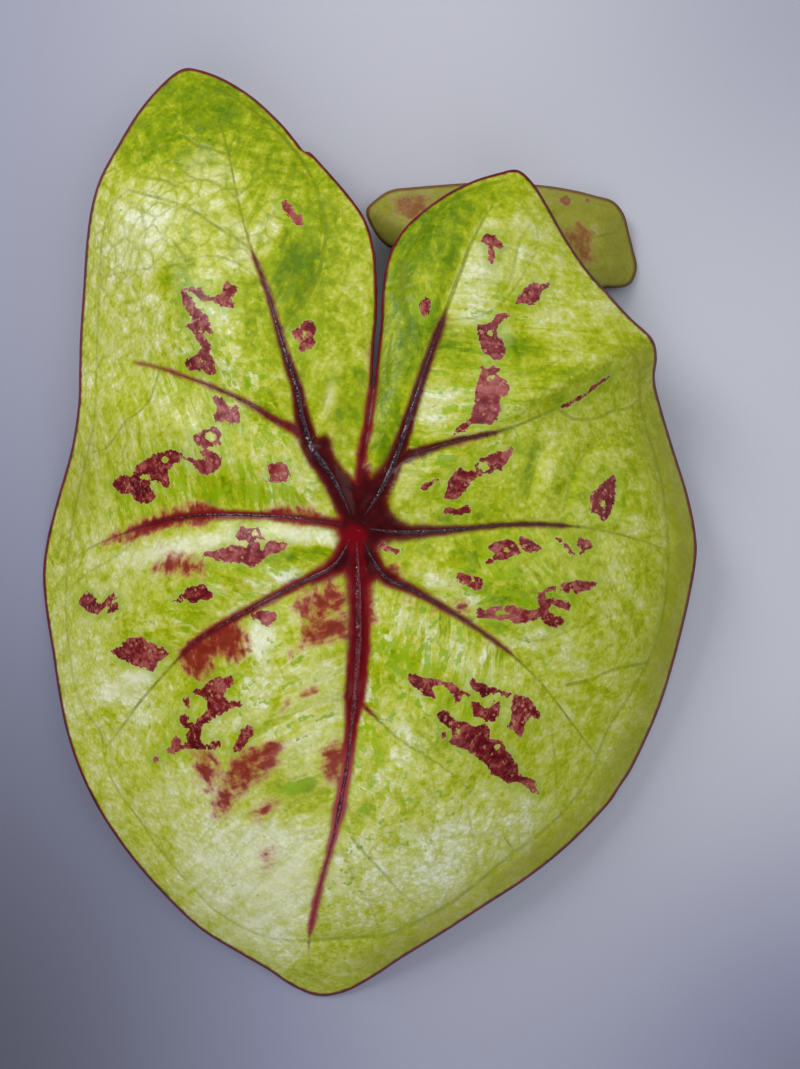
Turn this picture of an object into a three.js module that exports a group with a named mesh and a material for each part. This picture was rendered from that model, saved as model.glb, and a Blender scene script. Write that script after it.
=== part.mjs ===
import * as THREE from 'three';

// Caladium: two heart-shaped leaves on their stalks, joined at a short piece cut from the neck of the
// tuber. The plant lies down. Millimetres, +Z up, the big leaf's tip towards -Y.

// Leaf outlines and ribs are drawn on a chart, as they look from a sight point straight over the plant.
const MARKS = 3.9;            // chart marks to a millimetre at the big leaf's junction
const CHART_X = 400;          // chart mark under the sight point
const CHART_Y = 534.5;
const SIGHT_Z = 251.6;        // height of the sight point
const CHART_Z = 46;           // height at which the chart has its scale
const SHIFT_X = 12.5;         // moves the plant so that its box stands centred on the origin
const SHIFT_Y = 4.9;

// Thickness
const FRONT_THICK = 0.9;      // big blade between its ribs
const REAR_THICK = 0.8;       // small blade between its ribs
const HUB_DEPTH = 1.5;        // more under the junction, where all ribs meet
const RIB_HALF = [1.7, 0.8];  // half the width of a main rib at the junction and at the edge
const RIB_RAISE = 0.35;       // share of a rib's depth that stands up on the upper face
const GAP = 0.3;              // clearance between nodes that touch

// Size of the triangles
const FRONT_STEP = 4.7;
const REAR_STEP = 3.4;

// Big leaf. Outline from the left bank of the slit round by the tip to its right bank: x, y, height.
const FRONT_RIM = [
  [375.5, 257, 40], [371, 235, 38.5], [364, 217, 37], [354, 202, 35], [341, 186, 33], [326, 169, 31],
  [311, 153, 29], [304, 151, 28], [296, 141, 27], [280, 122, 25], [254, 98, 23], [226, 80, 21.5],
  [200, 70, 20.5], [182, 69, 20], [162, 84, 20], [138, 112, 21], [116, 148, 22], [100, 178, 22],
  [91, 208, 20], [86, 245, 17], [83, 290, 14], [80, 335, 13], [79, 372, 15], [78, 405, 17],
  [71, 450, 13], [57, 500, 6], [47, 540, 2.2], [43, 575, 1.2], [46, 612, 2.6], [52, 650, 6],
  [58, 690, 9], [66, 730, 11], [80, 772, 12], [101, 814, 11], [130, 856, 9], [163, 894, 8],
  [200, 929, 7], [242, 955, 6], [268, 970, 4.5], [292, 986, 2], [318, 996, 1.3], [345, 992, 2],
  [372, 978, 5], [404, 957, 9], [445, 932, 12], [485, 906, 14], [528, 878, 14], [569, 845, 12.5],
  [607, 806, 11], [620, 787, 10.5], [634, 765, 10], [658, 712, 11], [674, 662, 13], [688, 606, 16],
  [696, 562, 18], [696, 535, 18], [688, 495, 16], [674, 450, 15], [662, 410, 16], [655, 380, 20],
  [657, 357, 26], [652, 338, 30], [630, 317, 29], [608, 293, 27.5], [586, 268, 27], [566, 238, 28],
  [548, 206, 29.5], [534, 184, 30.5], [518, 170, 31], [498, 173, 32], [470, 182, 33.5], [440, 198, 35],
  [408, 224, 37], [391, 250, 39], [384, 275, 40],
];
// Main ribs from the junction to the outline. "rim" is the outline point where the rib ends, "turn" says
// how late it bends down to its edge, "rise" lifts its middle, "ridge" is its depth under the blade.
const FRONT_RIBS = [
  { path: [[358, 490], [361, 455], [366, 430], [369, 408], [372, 388], [374, 345], [376.5, 320], [377, 290]],
    rim: 0, slit: 5, turn: 1.6, rise: 1, ridge: 0.5 },
  { path: [[333, 478], [313, 450], [303, 420], [297, 388], [288, 362], [279, 332], [269, 297], [261, 274],
      [250, 245], [238, 200], [228, 152], [215, 108]],
    rim: 12, turn: 2.2, rise: 4, ridge: 2 },
  { path: [[325, 522], [285, 517], [243, 515], [205, 515], [172, 519], [145, 526], [130, 531], [90, 548]],
    rim: 27, turn: 2.4, rise: 2, ridge: 1.8 },
  { path: [[335, 564], [300, 583], [262, 603], [222, 625], [192, 645], [168, 670], [140, 702], [112, 740]],
    rim: 32, turn: 2.4, rise: 2.5, ridge: 1.8 },
  { path: [[358, 580], [359, 640], [354, 700], [347, 765], [335, 830], [319, 890], [309, 940], [311, 970]],
    rim: 40, turn: 4.2, rise: 1, ridge: 2.4 },
  { path: [[382, 574], [413, 590], [448, 610], [482, 632], [511, 654], [540, 682], [566, 715], [592, 750]],
    rim: 49, turn: 3.4, rise: 1.5, ridge: 1.8 },
  { path: [[400, 532], [450, 530], [505, 525], [555, 525], [600, 530], [645, 542]],
    rim: 54, turn: 3.6, rise: 1, ridge: 1.8 },
  { path: [[380, 492], [397, 455], [410, 415], [424, 372], [436, 338], [447, 308], [458, 278], [473, 240],
      [493, 204]],
    rim: 68, turn: 2.2, rise: 3, ridge: 2 },
  { path: [[360, 490], [363, 455], [368, 430], [371, 408], [374, 388], [378.5, 345], [381, 322], [381.5, 300]],
    rim: 74, slit: 5, turn: 1.6, rise: 1, ridge: 0.5 },
];
// Side ribs that branch off the main ones, as grooves
const FRONT_SIDE_RIBS = [
  [[305, 437], [292, 428], [275, 420], [258, 409], [240, 399], [222, 391], [203, 383], [183, 376],
    [160, 368], [133, 362], [110, 357]],
  [[394, 460], [425, 450], [460, 440], [500, 431], [533, 419], [568, 403], [600, 386], [625, 372]],
  [[358, 700], [400, 740], [440, 765], [472, 792], [502, 832]],
];
const FRONT = {
  name: 'front_blade', junction: [356, 527, 46], rim: FRONT_RIM, ribs: FRONT_RIBS,
  side: FRONT_SIDE_RIBS, bulge: [2.8, 5.5, 4.5, 5.5, 5.5, 5, 5.5, 2.8], slitAt: 0.5,
  thick: FRONT_THICK, step: FRONT_STEP, groove: 0.9, grooveWide: 4.8, hubWide: 6, ribScale: 1,
};

// Small leaf, lying under the big one's right lobe with its tip to the right
const REAR_RIM = [
  [428, 271, 13], [420, 283, 11], [404, 292, 8], [396, 305, 6], [400, 328, 5.5], [418, 344, 7.5],
  [450, 353, 10], [490, 351, 9], [530, 341, 4.5], [566, 325, 1.4], [592, 301, 2], [604, 289, 3],
  [615, 288, 3.5], [625, 287, 3], [633, 281, 1.8], [637, 267, 1.1], [634, 252, 1.5], [629, 232, 3],
  [624, 214, 4.5], [613, 201, 5.5], [597, 196, 6], [573, 190, 6], [545, 185.5, 5], [510, 183, 3.5],
  [478, 182.5, 2], [445, 184.5, 1.2], [415, 187, 2], [391, 190, 4.5], [375, 200, 7], [366, 211, 8.5],
  [372, 228, 9.5], [384, 244, 10.5], [400, 251, 12], [416, 258, 12.5], [428, 266, 13],
];
const REAR_RIBS = [
  { path: [[467, 263], [456, 267], [446, 268.5]], rim: 0, slit: 3, turn: 1.6, rise: 0, ridge: 0.4 },
  { path: [[462, 275], [444, 289], [428, 301], [412, 314]], rim: 4, turn: 2, rise: 1, ridge: 0.9 },
  { path: [[477, 284], [474, 305], [470, 330]], rim: 7, turn: 2, rise: 1, ridge: 0.8 },
  { path: [[496, 279], [517, 297], [540, 314]], rim: 9, turn: 2.2, rise: 1, ridge: 0.8 },
  { path: [[505, 265], [535, 268], [570, 270], [605, 270]], rim: 15, turn: 3, rise: 2, ridge: 1.1 },
  { path: [[499, 248], [525, 232], [553, 216], [578, 203]], rim: 20, turn: 2.4, rise: 1.5, ridge: 0.8 },
  { path: [[478, 242], [478, 222], [478, 202]], rim: 24, turn: 2, rise: 1, ridge: 0.8 },
  { path: [[461, 251], [442, 239], [418, 226], [391, 216]], rim: 29, turn: 2, rise: 1, ridge: 0.9 },
  { path: [[467, 261], [456, 265], [446, 267.5]], rim: 34, slit: 3, turn: 1.6, rise: 0, ridge: 0.4 },
];
const REAR = {
  name: 'rear_blade', junction: [478, 262, 21], rim: REAR_RIM, ribs: REAR_RIBS, side: [],
  bulge: [0.8, 1.8, 1.6, 1.8, 1.8, 1.8, 1.8, 1], slitAt: 0.45,
  thick: REAR_THICK, step: REAR_STEP, groove: 0.4, grooveWide: 3, hubWide: 4, ribScale: 0.6,
};

// Stalks: centre line as x, y, z in the plant's place before the shift, radius at the blade and at the neck
const FRONT_STALK = {
  name: 'front_petiole', top: 3, base: 4.3,
  line: [[-11.3, 1.9, 0], [-11.3, 1.2, -4], [-11.6, -1.2, -13], [-13, -9, -25], [-15.5, -24, -34.5],
    [-18.5, -45, -39.3], [-21, -68, -38.8], [-22.4, -80, -38], [-22.6, -88.2, -38]],
};
const REAR_STALK = {
  name: 'rear_petiole', top: 2.1, base: 3.9,
  line: [[22.3, 77.9, 0], [22.2, 77, -3], [21.8, 72.5, -9.5], [20.5, 62, -14.4], [17, 40, -15.9],
    [11, 12, -15.9], [3, -20, -15.5], [-5, -48, -15], [-11, -68, -13.6], [-13.2, -80, -13.2],
    [-13.4, -88.2, -13.2]],
};
const STALK_SIDES = 12;
const STALK_STEP = 4.5;

// Neck of the tuber, cut across at both ends
const NECK = {
  name: 'crown', x: -18, front: -88.5, back: -106, centre: 7.2, wide: 12, tall: 9.2, sides: 28,
  rings: [0.9, 1, 0.955, 1.02, 0.965, 1.01, 0.95, 0.98, 0.9],
};

function chart(x, y, z) {
  const k = (SIGHT_Z - z) / (SIGHT_Z - CHART_Z);
  const px = (k * (x - CHART_X)) / MARKS;
  const py = (k * (CHART_Y - y)) / MARKS;
  return new THREE.Vector3(px + SHIFT_X, py + SHIFT_Y, z);
}

const mix = (a, b, f) => a + (b - a) * f;

// Dense polyline of a smooth curve through points of any number of values
function smooth(points, fine = 24) {
  const out = [];
  const last = points.length - 1;
  for (let i = 0; i < last; i += 1) {
    const b = points[i];
    const c = points[i + 1];
    const a = i > 0 ? points[i - 1] : b.map((v, n) => 2 * v - c[n]);
    const d = i + 2 <= last ? points[i + 2] : c.map((v, n) => 2 * v - b[n]);
    for (let j = 0; j < fine; j += 1) {
      const t = j / fine;
      out.push(b.map((v, n) => 0.5 * (2 * v + (c[n] - a[n]) * t
        + (2 * a[n] - 5 * v + 4 * c[n] - d[n]) * t * t
        + (3 * v - a[n] - 3 * c[n] + d[n]) * t * t * t)));
    }
  }
  out.push(points[last]);
  return out;
}

// A reader of such a polyline by its share of length
function measure(line) {
  const run = [0];
  for (let i = 1; i < line.length; i += 1) {
    run.push(run[i - 1] + Math.hypot(line[i][0] - line[i - 1][0], line[i][1] - line[i - 1][1]));
  }
  const length = run[run.length - 1];
  const read = (share) => {
    const want = Math.min(Math.max(share, 0), 1) * length;
    let i = 1;
    while (i < run.length - 1 && run[i] < want) i += 1;
    const f = (want - run[i - 1]) / (run[i] - run[i - 1]);
    return line[i].map((v, n) => mix(line[i - 1][n], v, f));
  };
  return { length, read };
}

function distance(x, y, line) {
  let best = Infinity;
  for (let i = 1; i < line.length; i += 1) {
    const [ax, ay] = line[i - 1];
    const dx = line[i][0] - ax;
    const dy = line[i][1] - ay;
    const f = Math.min(Math.max(((x - ax) * dx + (y - ay) * dy) / (dx * dx + dy * dy), 0), 1);
    best = Math.min(best, Math.hypot(x - ax - f * dx, y - ay - f * dy));
  }
  return best;
}

// The blade's shape: any point by its panel between two ribs, f across the panel and t out to the edge
function leaf(spec) {
  const start = spec.junction.slice(0, 2);
  const ribs = spec.ribs.map((rib) => {
    const knots = [start, ...rib.path, spec.rim[rib.rim].slice(0, 2)];
    const parts = rib.slit
      ? [measure(smooth(knots.slice(0, rib.slit + 1))), measure(smooth(knots.slice(rib.slit)))]
      : [measure(smooth(knots))];
    const read = rib.slit
      ? (t) => (t < spec.slitAt ? parts[0].read(t / spec.slitAt)
        : parts[1].read((t - spec.slitAt) / (1 - spec.slitAt)))
      : parts[0].read;
    return { ...rib, read, length: parts.reduce((sum, part) => sum + part.length, 0) };
  });
  const outline = smooth(spec.rim);
  const edges = ribs.slice(1).map((rib, i) => measure(outline.slice(ribs[i].rim * 24, rib.rim * 24 + 1)));
  const side = spec.side.map((points) => smooth(points, 4));

  const point = (panel, f, t) => {
    const a = ribs[panel];
    const b = ribs[panel + 1];
    const [ax, ay] = a.read(t);
    const [bx, by] = b.read(t);
    const [ex, ey, ez] = edges[panel].read(f);
    const [a1x, a1y] = a.read(1);
    const [b1x, b1y] = b.read(1);
    const x = mix(ax, bx, f) + t * t * (ex - mix(a1x, b1x, f));
    const y = mix(ay, by, f) + t * t * (ey - mix(a1y, b1y, f));
    const s = f * f * (3 - 2 * f);
    const turn = mix(a.turn, b.turn, s);
    const arch = Math.sin(Math.PI * f) * spec.bulge[panel] * Math.pow(t, 0.9) * Math.pow(1 - t, 0.6) * 1.9;
    let z = mix(spec.junction[2], ez, Math.pow(t, turn)) + mix(a.rise, b.rise, s) * 4 * t * (1 - t) + arch;
    const nearest = Math.min(...side.map((line) => distance(x, y, line))) / MARKS;
    if (side.length) z -= spec.groove * Math.exp(-Math.pow(nearest / spec.grooveWide, 2));
    return [x, y, z];
  };
  const ridge = (panel, f, t) => {
    const deep = f === 0 ? ribs[panel].ridge : f === 1 ? ribs[panel + 1].ridge : 0;
    return deep * Math.min(1, t * 8) * (1 - 0.7 * t);
  };
  return { ribs, edges, point, ridge };
}

// Places across a panel: the two ribs, their flanks where there is room, and even steps between
function stations(length, flank, step) {
  if (length < 2 * flank + 0.7 * step) {
    const count = Math.max(1, Math.round(length / step));
    return Array.from({ length: count + 1 }, (_, i) => i / count);
  }
  const inside = length - 2 * flank;
  const count = Math.max(1, Math.round(inside / step));
  const steps = Array.from({ length: count + 1 }, (_, i) => (flank + (inside * i) / count) / length);
  return [0, ...steps, 1];
}

// Closed sheet of a leaf: the same triangles above and below, joined round the edge
function blade(spec) {
  const shape = leaf(spec);
  const panels = shape.ribs.length - 1;
  const reach = Math.max(...shape.ribs.map((rib) => rib.length)) / MARKS;
  const levels = 2 * Math.round(reach / spec.step / 2);
  const slitLevel = Math.round(spec.slitAt * levels);
  const top = [chart(...spec.junction)];
  const extra = [HUB_DEPTH];
  const across = [0];
  const cells = [];
  let inner = null;
  for (let level = 1; level <= levels; level += 1) {
    const t = level === slitLevel ? spec.slitAt : level / levels;
    const ring = [];
    for (let panel = 0; panel < panels; panel += 1) {
      const middle = [];
      for (let i = 0; i <= 8; i += 1) middle.push(shape.point(panel, i / 8, t));
      const half = mix(RIB_HALF[0], RIB_HALF[1], t) * spec.ribScale;
      const row = panel ? [ring[panel - 1][ring[panel - 1].length - 1]] : [];
      for (const f of stations(measure(middle).length / MARKS, half, spec.step).slice(panel ? 1 : 0)) {
        const ridge = shape.ridge(panel, f, t);
        const place = chart(...shape.point(panel, f, t));
        place.z += RIB_RAISE * ridge;
        const hub = HUB_DEPTH * Math.exp(-Math.pow(place.distanceTo(top[0]) / spec.hubWide, 2));
        row.push(top.length);
        top.push(place);
        across.push(f);
        extra.push(Math.max(hub, ridge * (1 + RIB_RAISE)));
      }
      ring.push(row);
    }
    for (let panel = 0; panel < panels; panel += 1) {
      const far = ring[panel];
      const near = inner ? inner[panel] : [0];
      let i = 0;
      let j = 0;
      while (i < near.length - 1 || j < far.length - 1) {
        const nextFar = j < far.length - 1 ? across[far[j + 1]] || 1 : 2;
        const nextNear = i < near.length - 1 ? across[near[i + 1]] || 1 : 2;
        if (nextFar <= nextNear) {
          cells.push([near[i], far[j], far[j + 1]]);
          j += 1;
        } else {
          cells.push([near[i], far[j], near[i + 1]]);
          i += 1;
        }
      }
    }
    if (level <= slitLevel) {
      const farA = ring[panels - 1][ring[panels - 1].length - 1];
      const farB = ring[0][0];
      const nearA = inner ? inner[panels - 1][inner[panels - 1].length - 1] : 0;
      const nearB = inner ? inner[0][0] : 0;
      cells.push([nearA, farA, farB]);
      if (inner) cells.push([nearA, farB, nearB]);
    }
    inner = ring;
  }

  const normal = top.map(() => new THREE.Vector3());
  for (const [a, b, c] of cells) {
    const face = top[b].clone().sub(top[a]).cross(top[c].clone().sub(top[a]));
    normal[a].add(face);
    normal[b].add(face);
    normal[c].add(face);
  }
  const under = top.map((place, i) => place.clone().addScaledVector(normal[i].normalize(),
    -spec.thick - extra[i]));
  const count = top.length;
  const faces = cells.concat(cells.map(([a, b, c]) => [a + count, c + count, b + count]));
  const edges = new Set(cells.flatMap(([a, b, c]) => [`${a} ${b}`, `${b} ${c}`, `${c} ${a}`]));
  for (const edge of edges) {
    const [a, b] = edge.split(' ').map(Number);
    if (!edges.has(`${b} ${a}`)) {
      faces.push([b, a, a + count], [b, a + count, b + count]);
    }
  }
  return solid(top.concat(under), faces);
}

// Closed tube or stump from rings of points, with flat ends
function loft(rings) {
  const sides = rings[0].length;
  const places = rings.flat();
  const faces = [];
  for (let ring = 0; ring < rings.length - 1; ring += 1) {
    for (let side = 0; side < sides; side += 1) {
      const a = ring * sides + side;
      const b = ring * sides + ((side + 1) % sides);
      faces.push([a, b, b + sides], [a, b + sides, a + sides]);
    }
  }
  const ends = [rings[0], rings[rings.length - 1]];
  ends.forEach((ring, end) => {
    const middle = ring.reduce((sum, place) => sum.add(place), new THREE.Vector3()).divideScalar(sides);
    const centre = places.push(middle) - 1;
    const first = end * (rings.length - 1) * sides;
    for (let side = 0; side < sides; side += 1) {
      const a = first + side;
      const b = first + ((side + 1) % sides);
      faces.push(end ? [centre, a, b] : [centre, b, a]);
    }
  });
  return solid(places, faces);
}

function solid(places, faces) {
  const geometry = new THREE.BufferGeometry();
  geometry.setAttribute('position', new THREE.Float32BufferAttribute(places.flatMap((p) => p.toArray()), 3));
  geometry.setIndex(faces.flat());
  geometry.computeVertexNormals();
  return geometry;
}

// Stalk under a blade: the line's heights count down from the blade's underside at its junction
function stalk(spec, under) {
  const line = spec.line.map(([x, y, z]) => new THREE.Vector3(x + SHIFT_X, y + SHIFT_Y, under + z));
  const curve = new THREE.CatmullRomCurve3(line, false, 'catmullrom', 0.5);
  const steps = Math.round(curve.getLength() / STALK_STEP);
  const frames = curve.computeFrenetFrames(steps, false);
  const rings = [];
  for (let i = 0; i <= steps; i += 1) {
    const t = i / steps;
    const centre = curve.getPointAt(t);
    const radius = mix(spec.top, spec.base, t * t) + 0.5 * Math.exp(-Math.pow(t / 0.03, 2));
    const ring = [];
    for (let side = 0; side < STALK_SIDES; side += 1) {
      const turn = (2 * Math.PI * side) / STALK_SIDES;
      ring.push(centre.clone()
        .addScaledVector(frames.normals[i], Math.cos(turn) * radius)
        .addScaledVector(frames.binormals[i], Math.sin(turn) * radius));
    }
    rings.push(ring);
  }
  return loft(rings);
}

function neck(spec) {
  const rings = spec.rings.map((scale, i) => {
    const t = i / (spec.rings.length - 1);
    const y = mix(spec.front, spec.back, t);
    const ring = [];
    for (let side = 0; side < spec.sides; side += 1) {
      const turn = (2 * Math.PI * side) / spec.sides;
      const uneven = scale * (1 + 0.035 * Math.sin(3 * turn + 1.7 * t) + 0.02 * Math.sin(5 * turn));
      const x = spec.x + Math.cos(turn) * spec.wide * uneven;
      const z = spec.centre + Math.sin(turn) * spec.tall * uneven;
      ring.push(new THREE.Vector3(x + SHIFT_X, y + SHIFT_Y, Math.max(0, z)));
    }
    return ring;
  });
  return loft(rings);
}

function underside(spec) {
  return spec.junction[2] - spec.thick - HUB_DEPTH - GAP;
}

function mesh(name, geometry, color, roughness) {
  const made = new THREE.Mesh(geometry, new THREE.MeshStandardMaterial({ color, roughness }));
  made.name = name;
  made.material.name = name;
  return made;
}

const plant = new THREE.Group();
plant.name = 'caladium';
plant.add(mesh('front_blade', blade(FRONT), 0x9db83a, 0.45));
plant.add(mesh('rear_blade', blade(REAR), 0x86a03c, 0.55));
plant.add(mesh('front_petiole', stalk(FRONT_STALK, underside(FRONT)), 0x5c2030, 0.5));
plant.add(mesh('rear_petiole', stalk(REAR_STALK, underside(REAR)), 0x6b2c34, 0.5));
plant.add(mesh('crown', neck(NECK), 0xb58f6a, 0.8));

export default plant;
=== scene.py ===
import math

import bpy
import numpy as np
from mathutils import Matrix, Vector, geometry, noise
from mathutils.bvhtree import BVHTree


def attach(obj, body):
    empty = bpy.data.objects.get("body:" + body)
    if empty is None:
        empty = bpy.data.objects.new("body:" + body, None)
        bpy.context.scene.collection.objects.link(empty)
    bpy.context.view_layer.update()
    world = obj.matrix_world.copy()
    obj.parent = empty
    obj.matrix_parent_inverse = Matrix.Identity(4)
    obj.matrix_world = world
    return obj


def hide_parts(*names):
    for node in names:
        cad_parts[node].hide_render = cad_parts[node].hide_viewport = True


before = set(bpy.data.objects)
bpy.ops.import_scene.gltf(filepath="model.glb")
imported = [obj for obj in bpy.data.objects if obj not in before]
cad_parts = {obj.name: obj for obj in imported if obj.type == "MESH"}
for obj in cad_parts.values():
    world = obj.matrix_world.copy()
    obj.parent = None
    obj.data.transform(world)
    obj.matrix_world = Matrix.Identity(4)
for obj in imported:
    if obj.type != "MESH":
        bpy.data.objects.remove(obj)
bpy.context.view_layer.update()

MM = 0.001


def group(width, *flat):
    """Rows of width numbers each from one run of numbers."""
    return [list(flat[i:i + width]) for i in range(0, len(flat), width)]


def paths(lead, rows):
    """Each row is lead numbers and a run of x and y. It comes back as the path and the numbers."""
    return [(group(2, *row[lead:]), *row[:lead]) for row in rows]


# ---------------------------------------------------------------- chart
# Outlines, ribs and markings are drawn on a chart, as they look from a sight point over the plant.
# Chart marks are counted to the right and down, lengths and heights are in mm.
MARKS = 3.9            # chart marks to a millimetre at the big leaf's junction
CHART = (400, 534.5)   # chart mark under the sight point
SIGHT_Z = 251.6        # height of the sight point
CHART_Z = 46           # height at which the chart has its scale
SHIFT = (12.5, 4.9)    # the plant's place on the floor

SKIN = 0.6             # thickness of a blade between its ribs
HUB_DEPTH = 1.5        # how much thicker it is under the junction
FLOOR_GAP = 0.15       # least height of a blade over the floor
CURVE_STEPS = 24       # points of a smooth curve from one of its knots to the next
VEIN_SLANT = 0.6       # how far a side vein leans outwards for each mm across its panel
LINE_REACH = 40.0      # chart marks beside a fold or a vein within which it is worked out
MARK_REACH = 14.0      # chart marks outside a marking at which its depth is no longer followed
BAND_END = 28.0        # chart marks along a rib over which its dark band ends

# ---------------------------------------------------------------- big leaf
# Rim: x, y and height in mm
FRONT_RIM = group(3,
    375.5,257,40, 371,235,38.5, 364,217,37, 354,202,35, 341,186,33, 326,169,31, 311,153,29, 304,151,28,
    296,141,27, 280,122,25, 254,98,23, 226,80,21.5, 200,70,20.5, 182,69,20, 162,84,20, 138,112,21,
    116,148,22, 100,178,22, 91,208,20, 86,245,17, 83,290,14, 80,335,13, 79,372,15, 78,405,17, 71,450,13,
    57,500,6, 47,540,2.2, 43,575,1.2, 46,612,2.6, 52,650,6, 58,690,9, 66,730,11, 80,772,12, 101,814,11,
    130,856,9, 163,894,8, 200,929,7, 242,955,6, 268,970,4.5, 292,986,2, 318,996,1.3, 345,992,2, 372,978,5,
    404,957,9, 445,932,12, 485,906,14, 528,878,14, 569,845,12.5, 607,806,11, 620,787,10.5, 634,765,10,
    658,712,11, 674,662,13, 688,606,16, 696,562,18, 696,535,18, 688,495,16, 674,450,15, 662,410,16,
    655,380,20, 657,357,26, 652,338,30, 630,317,29, 608,293,27.5, 586,268,27, 566,238,28, 548,206,29.5,
    534,184,30.5, 518,170,31, 498,173,32, 470,182,33.5, 440,198,35, 408,224,37, 391,250,39, 384,275,40)
# rim: the knot of the rim that the rib runs to. slit: the knot of its own at which the slit starts.
# turn: how late the blade drops to the height of its edge there. rise: lift of its middle in mm.
# ridge: how strong it is above and below the blade. wide: distance from the junction and width of the
# dark band there, in marks. fade: distance at which the band ends. red: 1 for crimson, 0 for near black.
FRONT_RIBS = [
    dict(path=group(2, 358,490, 361,455, 366,430, 369,408, 372,388, 374,345, 376.5,320, 377,290), rim=0,
         slit=5, turn=1.6, rise=1, ridge=0.5, wide=group(2, 0,8, 60,6, 130,6, 142,5, 170,2.5, 270,1),
         fade=270, red=0.6),
    dict(path=group(2, 333,478, 313,450, 303,420, 297,388, 288,362, 279,332, 269,297, 261,274, 250,245,
         238,200, 228,152, 215,108), rim=12, turn=2.2, rise=4, ridge=2, wide=group(2, 0,20, 60,22, 95,19,
         150,12, 190,8.5, 230,6.5, 270,4.5, 320,2.5, 400,2, 480,1.5), fade=300, red=0.25),
    dict(path=group(2, 325,522, 285,517, 243,515, 205,515, 172,519, 145,526, 130,531, 90,548), rim=27,
         turn=2.4, rise=2, ridge=1.8, wide=group(2, 0,14, 30,7, 80,6, 150,7, 200,6, 240,3.5, 320,1.5),
         fade=240, red=0.5),
    dict(path=group(2, 335,564, 300,583, 262,603, 222,625, 192,645, 168,670, 140,702, 112,740), rim=32,
         turn=2.4, rise=2.5, ridge=1.8, wide=group(2, 0,20, 40,12, 80,8, 140,7, 190,6, 235,4, 300,3,
         380,1.5), fade=232, red=0.5),
    dict(path=group(2, 358,580, 359,640, 354,700, 347,765, 335,830, 319,890, 309,940, 311,970), rim=40,
         turn=4.2, rise=1, ridge=2.4, wide=group(2, 0,22, 50,18, 120,20, 170,19, 200,11, 265,9, 285,12,
         305,6, 350,3.6, 385,6, 400,4.6, 430,2.5, 475,1), fade=418, red=1),
    dict(path=group(2, 382,574, 413,590, 448,610, 482,632, 511,654, 540,682, 566,715, 592,750), rim=49,
         turn=3.4, rise=1.5, ridge=1.8, wide=group(2, 0,22, 50,12, 90,8, 130,5.5, 170,3.5, 250,2, 380,1),
         fade=215, red=0.35),
    dict(path=group(2, 400,532, 450,530, 505,525, 555,525, 600,530, 645,542), rim=54, turn=3.6, rise=1,
         ridge=1.8, wide=group(2, 0,20, 45,14, 80,9, 120,6, 160,5, 210,4, 340,1.5), fade=222, red=0.1),
    dict(path=group(2, 380,492, 397,455, 410,415, 424,372, 436,338, 447,308, 458,278, 473,240, 493,204),
         rim=68, turn=2.2, rise=3, ridge=2, wide=group(2, 0,16, 50,17, 90,15, 140,11, 190,9, 220,8, 240,6,
         300,5, 395,2), fade=235, red=0.2),
    dict(path=group(2, 360,490, 363,455, 368,430, 371,408, 374,388, 378.5,345, 381,322, 381.5,300), rim=74,
         slit=5, turn=1.6, rise=1, ridge=0.5, wide=group(2, 0,8, 60,6, 130,6, 142,5, 170,2.5, 270,1),
         fade=270, red=0.6),
]
# Side ribs, with the words of these that they need
FRONT_SIDE_RIBS = [
    dict(path=group(2, 305,437, 292,428, 275,420, 258,409, 240,399, 222,391, 203,383, 183,376, 160,368,
         133,362, 110,357), wide=group(2, 0,9, 30,6.5, 70,3.2, 110,1.8, 205,0.6), fade=196, red=0.5),
    dict(path=group(2, 394,460, 425,450, 460,440, 500,431, 533,419, 568,403, 600,386, 625,372),
         wide=group(2, 0,13, 40,8, 80,5.5, 130,4, 240,4), fade=118, red=0.15),
    dict(path=group(2, 358,700, 400,740, 440,765, 472,792, 502,832), wide=group(2, 0,2.5, 60,1.2, 200,1),
         fade=30, red=0.5),
]
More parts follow.
